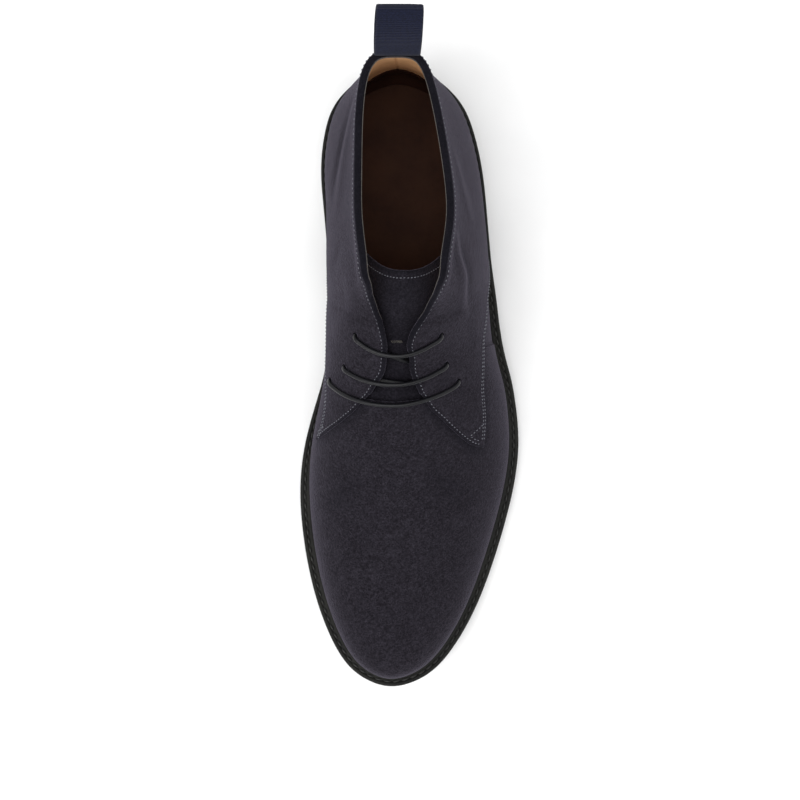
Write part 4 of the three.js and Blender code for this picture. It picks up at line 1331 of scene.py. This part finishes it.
def welt(material):
    """The strip round the upper, with a groove for its stitches."""
    turns = np.linspace(0, TURN, 1081)[:-1]
    squeeze = welt_squeeze(turns)

    def inner(station):
        return reach(station) + WALL + 0.2

    base = OUTSOLE_THICKNESS + GAP
    profile = [(0.5, base), (0.12, base + 0.2), (0.0, base + 0.8), (0.05, base + 1.9),
               (0.3, base + 2.45), (0.7, 7.95), *WELT_GROOVE, (lambda s: reach(s) - 0.6, 8.02),
               (lambda s: reach(s) - 0.1, 7.9), (inner, 7.9), (inner, base)]
    grid = np.array([edge_points(turns, inward if callable(inward) else inward * squeeze, above(height))
                     for inward, height in profile])
    faces = grid_faces(*grid.shape[:2], wrap_rows=True, wrap_cols=True)
    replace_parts(add_piece("welt_strip", grid, faces, material, "welt_leather"), "welt")


def welt_stitches(sizes, material):
    """The row of stitches in the welt's groove."""
    turns = np.linspace(0, TURN, 3000)
    line = edge_points(turns, WELT_STITCH_INSET * welt_squeeze(turns), above(WELT_STITCH_HEIGHT))
    run = run_of(line)
    count = int(run[-1] / (sizes.welt_stitch_pitch / MM))
    centres = sampled(line, run, (np.arange(count) + 0.5) * run[-1] / count)
    tangent = unit(np.gradient(centres, axis=0))
    side = unit(np.cross(tangent, (0, 0, 1.0)))
    row = (centres, unit(np.cross(side, tangent)))
    add_stitches("welt_stitches", [row], *WELT_THREAD, material, "welt_leather", slant=0.1)


# Sock lining: rows by how far they lie inside the wall, and height
INSOLE_ROWS = ((1.0, 5.35), (0.35, 9.0), (0.35, 9.9), (0.70, 10.35), (1.45, 10.5))


def insole(material):
    """The sock lining over the insole."""
    profile = [(lambda s, inward=inward: reach(s) + WALL + inward, above(height))
               for inward, height in INSOLE_ROWS]
    obj = slab("sock_lining", profile, material, "lining_leather", np.linspace(0, HALF, 190))
    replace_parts(obj, "insole")


# ---- Materials ----
def linear(code):
    """Linear colour from an sRGB hex value."""
    made = []
    for i in (1, 3, 5):
        v = int(code[i:i + 2], 16) / 255
        made.append(v / 12.92 if v <= 0.04045 else ((v + 0.055) / 1.055) ** 2.4)
    return (*made, 1.0)


def node(tree, kind, inputs=None, **settings):
    """Adds a node with its settings, and links a socket or gives a value to each named input."""
    made = tree.nodes.new(kind)
    for name, value in settings.items():
        setattr(made, name, value)
    for name, value in (inputs or {}).items():
        if isinstance(value, bpy.types.NodeSocket):
            tree.links.new(value, made.inputs[name])
        else:
            made.inputs[name].default_value = value
    return made


def start_material(name, *patterns):
    """New material, its place in the object, and noise patterns of (size in mm, detail, roughness)."""
    material = bpy.data.materials.new(name)
    material.use_nodes = True
    tree = material.node_tree
    tree.nodes.clear()
    place = node(tree, "ShaderNodeTexCoord").outputs["Object"]
    made = [node(tree, "ShaderNodeTexNoise", {"Vector": place, "Scale": per_mm(size), "Detail": detail,
                                              "Roughness": rough}).outputs["Fac"]
            for size, detail, rough in patterns]
    return material, tree, place, *made


def per_mm(size):
    """Pattern scale for features of a size in millimetres, in a frame of metres."""
    return 1 / (size * MM)


def layered(tree, base, *layers):
    """Colour built up in layers: each tint is laid on as its pattern goes from low to high."""
    for tint, pattern, low, high in layers:
        share = node(tree, "ShaderNodeMapRange", {"Value": pattern, "From Min": low, "From Max": high})
        laid = node(tree, "ShaderNodeMix", {0: share.outputs[0], 6: base, 7: tint}, data_type="RGBA")
        base = laid.outputs[2]
    return base


def finish_material(tree, base, height, strength, depth_mm, inputs):
    """Shader with a colour, a bump of a depth in millimetres and the other inputs, to the output."""
    bump = node(tree, "ShaderNodeBump", {"Height": height, "Strength": strength,
                                         "Distance": depth_mm * MM})
    shader = node(tree, "ShaderNodeBsdfPrincipled",
                  {"Base Color": base, "Normal": bump.outputs[0], **inputs})
    node(tree, "ShaderNodeOutputMaterial", {"Surface": shader.outputs[0]})


def suede(colours):
    """Suede, buffed on the flesh side: a short nap that is matt and dark seen square on, pale at a
    glancing angle, and brushed into soft patches."""
    material, tree, _, patches, blotches, grain, nap = start_material(
        "suede_buffed", (12, 3.0, 0.6), (5.0, 3.0, 0.6), (1.5, 2.0, 0.6),
        (0.75, 2.0, 0.75))  # real nap is finer than 0.75 mm; drawn coarser to stay visible
    tone = node(tree, "ShaderNodeAttribute", attribute_name="tone").outputs["Fac"]
    dark, pale = colours.suede_dark, colours.suede_pale_and_highlight
    brushed = layered(tree, dark, (colours.suede_light, patches, 0.36, 0.6), (pale, blotches, 0.52, 1.0))
    fleck = layered(tree, dark, (pale, nap, 0.38, 0.68))
    napped = node(tree, "ShaderNodeMix", {0: 0.62, 6: brushed, 7: fleck}, data_type="RGBA").outputs[2]
    # The tone attribute lays the pale colour on as painted highlight on fold ridges. It lays the edge
    # colour on as painted shade in fold troughs, under the binding's edge, beside the wings and over the
    # tongue, as well as on the darker binding and cut edges
    base = layered(tree, napped, (dark, grain, 0.52, 0.75), (pale, tone, 0.0, 1.2),
                   (colours.suede_edge, tone, 0.0, -0.9))
    height = node(tree, "ShaderNodeMath", {0: nap, 1: grain}, operation="ADD").outputs[0]
    finish_material(tree, base, height, 0.8, 0.3, {
        "Roughness": 1.0, "Specular IOR Level": 0.05, "Sheen Weight": 0.3, "Sheen Roughness": 0.38,
        "Sheen Tint": colours.suede_sheen})
    return material


def leather(name, colour, dark, roughness, grain_mm, shine):
    """Grain leather, drum dyed and lightly glazed: fine pebbled grain with soft tone changes."""
    material, tree, place, tone, fine = start_material(name, (18, 3.0, 0.5), (1.6, 4.0, 0.65))
    cells = node(tree, "ShaderNodeTexVoronoi", {"Vector": place, "Scale": per_mm(grain_mm)})
    base = layered(tree, dark, (colour, tone, 0.28, 0.66), (dark, fine, 0.55, 1.0))
    height = node(tree, "ShaderNodeMath", {0: cells.outputs["Distance"], 1: fine}, operation="ADD")
    rough = node(tree, "ShaderNodeMapRange",
                 {"Value": fine, "To Min": roughness - 0.06, "To Max": roughness + 0.08})
    finish_material(tree, base, height.outputs[0], 0.25, 0.08,
                    {"Roughness": rough.outputs[0], "IOR": 1.5, "Specular IOR Level": shine})
    return material


def rubber(colours):
    """Rubber, moulded and buffed at the edge: near black, a dull shine and fine buffing marks."""
    material, tree, place = start_material("rubber_moulded")
    streaks = node(tree, "ShaderNodeMapping", {"Vector": place, "Scale": (1, 1, 5)})
    fine = node(tree, "ShaderNodeTexNoise", {"Vector": streaks.outputs[0], "Scale": per_mm(2.4),
                                             "Detail": 4.0, "Roughness": 0.6}).outputs["Fac"]
    base = layered(tree, colours.sole, (colours.sole_light, fine, 0.35, 0.9))
    rough = node(tree, "ShaderNodeMapRange", {"Value": fine, "To Min": 0.38, "To Max": 0.6})
    finish_material(tree, base, fine, 0.2, 0.1, {"Roughness": rough.outputs[0], "IOR": 1.52})
    return material


def thread(name, colour, dark, roughness):
    """Polyester thread, twisted and lightly waxed: a soft shine broken by the ply."""
    material, tree, _, ply = start_material(name, (0.5, 2.0, 0.5))
    base = layered(tree, dark, (colour, ply, 0.3, 0.7))
    finish_material(tree, base, ply, 0.1, 0.03, {"Roughness": roughness, "IOR": 1.5})
    return material


def waxed_cord(colours):
    """Cotton lace, braided round and waxed: dark, with a greyish waxy highlight along the top."""
    material, tree, _, wear = start_material("cotton_cord_waxed", (0.8, 3.0, 0.6))
    base = layered(tree, colours.lace, (colours.lace_light, wear, 0.4, 0.8))
    finish_material(tree, base, wear, 0.6, 0.15, {"Roughness": 0.38, "IOR": 1.46,
                                                "Specular IOR Level": 0.32})
    return material


def webbing(colours):
    """Grosgrain tape, woven of cotton: fine cross ribs with a low sheen on their backs."""
    material, tree, _, yarn = start_material("grosgrain_woven", (0.55, 2.0, 0.5))
    base = layered(tree, colours.tape_dark, (colours.tape, yarn, 0.3, 0.7))
    finish_material(tree, base, yarn, 0.4, 0.1, {
        "Roughness": 0.9, "Specular IOR Level": 0.12, "Sheen Weight": 0.12, "Sheen Roughness": 0.5})
    return material


FINISHES = {"suede": suede, "rubber": rubber, "lace": waxed_cord, "tape": webbing}
# Name, colour, darker colour, roughness, size of the grain in mm and shine
LEATHERS = {
    "lining": ("calf_leather_aniline", "lining", "lining_dark", 0.5, 0.9, 0.3),
    "grip": ("goat_leather_dyed", "insole", "insole_dark", 0.7, 0.9, 0.08),
    "insole": ("sock_leather_dyed", "insole_light", "insole", 0.6, 0.9, 0.08),
    "welt": ("welt_leather_inked", "welt", "welt_dark", 0.6, 1.1, 0.2),
}
# Name, colour, darker colour and roughness
THREADS = {
    "edge": ("leather_edge_cut", "edge", "edge_dark", 0.8),
    "thread": ("polyester_thread", "thread", "thread_dark", 0.7),
    "dark_thread": ("polyester_thread_dark", "dark_thread", "suede_edge", 0.7),
    "welt_thread": ("welt_thread_waxed", "welt_thread", "welt_dark", 0.5),
}
_materials = {}


def material_for(key, colours):
    """The boot's materials, each made once."""
    if key not in _materials:
        if key in FINISHES:
            _materials[key] = FINISHES[key](colours)
        else:
            maker, rows = (leather, LEATHERS) if key in LEATHERS else (thread, THREADS)
            name, light, dark, *rest = rows[key]
            _materials[key] = maker(name, getattr(colours, light), getattr(colours, dark), *rest)
    return _materials[key]


# ---- Sizes and colours ----
def size(name, description, default):
    return FloatProperty(name=name, description=description, default=default * MM, min=0.0001,
                         subtype="DISTANCE", unit="LENGTH")


def colour(name, description, code):
    return FloatVectorProperty(name=name, description=description, default=linear(code), size=4,
                               min=0.0, max=1.0, subtype="COLOR")


class BootSizes(bpy.types.PropertyGroup):
    """Sizes of the small pieces."""
    stitch_pitch: size("Stitch pitch", "Distance between stitches of the upper", 1.75)
    stitch_length: size("Stitch length", "Length of one stitch of the upper", 1.0)
    stitch_thread: size("Thread", "Diameter of the upper's thread", 0.44)
    welt_stitch_pitch: size("Welt pitch", "Distance between stitches of the welt", 4.4)
    lace_diameter: size("Lace", "Diameter of the lace", 2.0)
    tape_rib: size("Tape rib", "Distance between the tape's cross ribs", 0.85)


class BootColours(bpy.types.PropertyGroup):
    """Colours of the finishes."""
    suede_dark: colour("Suede dark", "Nap lying down", "#110f13")
    suede_light: colour("Suede", "Nap brushed up", "#1b191e")
    # Pale nap tips, and the painted highlight on fold ridges
    suede_pale_and_highlight: colour("Suede pale", "Tips of the nap and rubbed ridges", "#39363e")
    # Turned and rolled edges, and the painted shade in fold troughs, under the binding's edge, beside the
    # wings and over the tongue
    suede_edge: colour("Suede edge", "Turned and rolled edges", "#0d0d12")
    suede_sheen: colour("Suede sheen", "Glancing tint of the nap", "#9f98ac")
    lining: colour("Lining", "Lining leather", "#d3a67b")
    lining_dark: colour("Lining dark", "Darker parts of the lining", "#b98f66")
    edge: colour("Lining edge", "Cut edge of the lining", "#56524f")
    edge_dark: colour("Lining edge dark", "Darker parts of the cut edge", "#37342f")
    insole_light: colour("Sock pale", "Worn parts of the sock lining", "#3c261b")
    insole: colour("Sock", "Sock lining and heel grip", "#2f1c15")
    insole_dark: colour("Sock dark", "Darker parts of the heel grip", "#21130e")
    welt: colour("Welt", "Inked welt leather", "#1b1b18")
    welt_dark: colour("Welt dark", "Grooves of the welt", "#0c0c0b")
    welt_thread: colour("Welt thread", "Waxed thread of the welt", "#1f1e1b")
    sole: colour("Sole", "Rubber of sole and heel", "#10100f")
    sole_light: colour("Sole pale", "Buffed rubber", "#1c1c19")
    thread: colour("Thread", "Thread of the upper", "#74767e")
    thread_dark: colour("Thread dark", "Shaded ply of the thread", "#3d3e46")
    dark_thread: colour("Dark thread", "Thread of the tape", "#16161d")
    lace: colour("Lace", "Waxed cotton", "#060609")
    lace_light: colour("Lace pale", "Wax on the high strands", "#111218")
    tape: colour("Tape", "Ribbed tape", "#171b30")
    tape_dark: colour("Tape dark", "Between the yarns", "#0c0e1a")
    floor: colour("Floor", "Paper floor", "#f4f4f4")


def settings(context):
    return context.scene.boot_sizes, context.scene.boot_colours


# ---- Operators ----
class BOOT_OT_vamp(bpy.types.Operator):
    """Add the front panel of the upper"""
    bl_idname = "boot.vamp"
    bl_label = "Vamp"

    def execute(self, context):
        _, colours = settings(context)
        vamp(material_for("suede", colours))
        return {"FINISHED"}


class BOOT_OT_quarters(bpy.types.Operator):
    """Add the two side panels with their lace holes"""
    bl_idname = "boot.quarters"
    bl_label = "Quarters"

    def execute(self, context):
        _, colours = settings(context)
        for side in (1, -1):
            made = quarter(side, material_for("suede", colours))
            punch(made, side)
            if side > 0:
                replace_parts(made, "upper")
        return {"FINISHED"}


class BOOT_OT_back_piece(bpy.types.Operator):
    """Add the counter piece that shows behind the vamp, under the quarters"""
    bl_idname = "boot.back_piece"
    bl_label = "Counter piece"

    def execute(self, context):
        _, colours = settings(context)
        for side in (1, -1):
            counter(side, material_for("suede", colours))
        return {"FINISHED"}


class BOOT_OT_lining(bpy.types.Operator):
    """Add the lining and the heel grip"""
    bl_idname = "boot.lining"
    bl_label = "Lining"

    def execute(self, context):
        _, colours = settings(context)
        lining(material_for("lining", colours))
        heel_grip(material_for("grip", colours))
        return {"FINISHED"}


class BOOT_OT_collar(bpy.types.Operator):
    """Add the rolled binding of the collar"""
    bl_idname = "boot.collar"
    bl_label = "Collar binding"

    def execute(self, context):
        _, colours = settings(context)
        collar_binding(material_for("suede", colours))
        lining_edge(material_for("edge", colours))
        return {"FINISHED"}


class BOOT_OT_stitches(bpy.types.Operator):
    """Add the rows of stitches on the quarters and the tongue"""
    bl_idname = "boot.stitches"
    bl_label = "Stitches"

    def execute(self, context):
        sizes, colours = settings(context)
        material, dark = material_for("thread", colours), material_for("edge", colours)
        length, radius = sizes.stitch_length / MM, sizes.stitch_thread / MM / 2
        for side in (1, -1):
            rows = upper_rows(side, sizes)
            add_stitches(f"stitches_{SIDE_NAMES[side]}", rows, length, radius, material, "suede")
        add_stitches("stitches_tongue", tongue_rows(sizes), length, radius, material, "suede")
        add_stitches("stitches_bar_tack", [bar_tack()], *BAR_TACK_THREAD, dark, "suede",
                     slant=BAR_TACK_SLANT)
        return {"FINISHED"}


class BOOT_OT_tongue(bpy.types.Operator):
    """Add the tongue"""
    bl_idname = "boot.tongue"
    bl_label = "Tongue"

    def execute(self, context):
        _, colours = settings(context)
        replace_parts(tongue(material_for("suede", colours)), "tongue")
        return {"FINISHED"}


class BOOT_OT_lace(bpy.types.Operator):
    """Add the lace through the six holes"""
    bl_idname = "boot.lace"
    bl_label = "Lace"

    def execute(self, context):
        sizes, colours = settings(context)
        length = lace(sizes, material_for("lace", colours))
        print(f"lace length {length:.0f} mm")
        return {"FINISHED"}


class BOOT_OT_pull_loop(bpy.types.Operator):
    """Add the ribbed pull tape at the back"""
    bl_idname = "boot.pull_loop"
    bl_label = "Pull loop"

    def execute(self, context):
        sizes, colours = settings(context)
        pull_loop(sizes, material_for("tape", colours), material_for("dark_thread", colours))
        return {"FINISHED"}


class BOOT_OT_sole(bpy.types.Operator):
    """Add the outsole and the heel"""
    bl_idname = "boot.sole"
    bl_label = "Sole and heel"

    def execute(self, context):
        _, colours = settings(context)
        outsole(material_for("rubber", colours))
        heel(material_for("rubber", colours))
        return {"FINISHED"}


class BOOT_OT_welt(bpy.types.Operator):
    """Add the welt and its stitches"""
    bl_idname = "boot.welt"
    bl_label = "Welt"

    def execute(self, context):
        sizes, colours = settings(context)
        welt(material_for("welt", colours))
        welt_stitches(sizes, material_for("welt_thread", colours))
        return {"FINISHED"}


class BOOT_OT_insole(bpy.types.Operator):
    """Add the sock lining over the insole"""
    bl_idname = "boot.insole"
    bl_label = "Insole"

    def execute(self, context):
        _, colours = settings(context)
        insole(material_for("insole", colours))
        return {"FINISHED"}


# ---- Stage ----
CAMERA_HEIGHT = 1.0
CAMERA_STATION = 152.7
CAMERA_X = 1.0
SENSOR = 36.0
FOCAL_LENGTH = 90.07
CAMERA_SHIFT = (-0.005, -0.025)
FLOOR_HALF = 4.0
FLOOR_DROP = 0.0002  # floor below the ground, so that the heel doesn't share its plane
WORLD_STRENGTH = 0.76
LIT_PLACE = Vector((0, 0, 0.05))
LIGHTS = (
    {"name": "softbox_top", "place": (-0.2, -0.25, 1.9), "side": 1.7, "power": 23.0},
    {"name": "softbox_left", "place": (-1.2, -0.8, 1.3), "side": 1.2, "power": 11.0},
    {"name": "softbox_right", "place": (1.7, 0.1, 1.1), "side": 1.3, "power": 5.0},
)


class BOOT_OT_stage(bpy.types.Operator):
    """Add the floor, the studio light and the camera"""
    bl_idname = "boot.stage"
    bl_label = "Stage"

    def execute(self, context):
        _, colours = settings(context)
        scene = context.scene
        scene.view_settings.view_transform = "Standard"
        mesh = bpy.data.meshes.new("floor")
        corners = ((-1, -1), (1, -1), (1, 1), (-1, 1))
        mesh.from_pydata([(x * FLOOR_HALF, y * FLOOR_HALF, 0) for x, y in corners], [], [(0, 1, 2, 3)])
        floor = bpy.data.objects.new("floor", mesh)
        floor.location.z = -FLOOR_DROP
        material, tree, _, pulp = start_material("paper_matt", (40, 2.0, 0.5))
        pale = layered(tree, colours.floor, ((0.95, 0.95, 0.95, 1.0), pulp, 0.3, 0.7))
        finish_material(tree, pale, pulp, 0.05, 0.05, {"Roughness": 0.9})
        mesh.materials.append(material)
        scene.collection.objects.link(floor)

        world = bpy.data.worlds.new("studio")
        world.use_nodes = True
        background = world.node_tree.nodes["Background"]
        background.inputs["Color"].default_value = (1.0, 1.0, 1.0, 1.0)
        background.inputs["Strength"].default_value = WORLD_STRENGTH
        scene.world = world

        for lamp in LIGHTS:
            light = bpy.data.lights.new(lamp["name"], "AREA")
            light.shape = "SQUARE"
            light.size = lamp["side"]
            light.energy = lamp["power"]
            obj = bpy.data.objects.new(lamp["name"], light)
            obj.location = lamp["place"]
            aim = LIT_PLACE - Vector(lamp["place"])
            obj.rotation_euler = aim.to_track_quat("-Z", "Y").to_euler()
            scene.collection.objects.link(obj)

        camera_data = bpy.data.cameras.new("camera")
        camera_data.sensor_width = SENSOR
        camera_data.lens = FOCAL_LENGTH
        camera_data.shift_x, camera_data.shift_y = CAMERA_SHIFT
        camera = bpy.data.objects.new("camera", camera_data)
        camera.location = ((CAMERA_X + SHIFT[0]) * MM, (SHIFT[1] - CAMERA_STATION) * MM, CAMERA_HEIGHT)
        scene.collection.objects.link(camera)
        scene.camera = camera
        return {"FINISHED"}


OPERATORS = (BOOT_OT_stage, BOOT_OT_sole, BOOT_OT_welt, BOOT_OT_insole, BOOT_OT_lining, BOOT_OT_vamp,
             BOOT_OT_back_piece, BOOT_OT_quarters, BOOT_OT_collar, BOOT_OT_tongue, BOOT_OT_stitches,
             BOOT_OT_lace, BOOT_OT_pull_loop)


class BOOT_PT_panel(bpy.types.Panel):
    """Lists the boot's pieces, sizes and colours"""
    bl_idname = "BOOT_PT_panel"
    bl_label = "Chukka boot"
    bl_space_type = "VIEW_3D"
    bl_region_type = "UI"
    bl_category = "Boot"

    def draw(self, context):
        for operator in OPERATORS:
            self.layout.operator(operator.bl_idname)
        for group in settings(context):
            for name in group.__annotations__:
                self.layout.prop(group, name)


CLASSES = (BootSizes, BootColours, *OPERATORS, BOOT_PT_panel)


def register():
    for cls in CLASSES:
        bpy.utils.register_class(cls)
    bpy.types.Scene.boot_sizes = PointerProperty(type=BootSizes)
    bpy.types.Scene.boot_colours = PointerProperty(type=BootColours)


def unregister():
    del bpy.types.Scene.boot_colours
    del bpy.types.Scene.boot_sizes
    for cls in reversed(CLASSES):
        bpy.utils.unregister_class(cls)


def main():
    register()
    for operator in OPERATORS:
        group, name = operator.bl_idname.split(".")
        getattr(getattr(bpy.ops, group), name)()


if __name__ == "__main__":
    main()
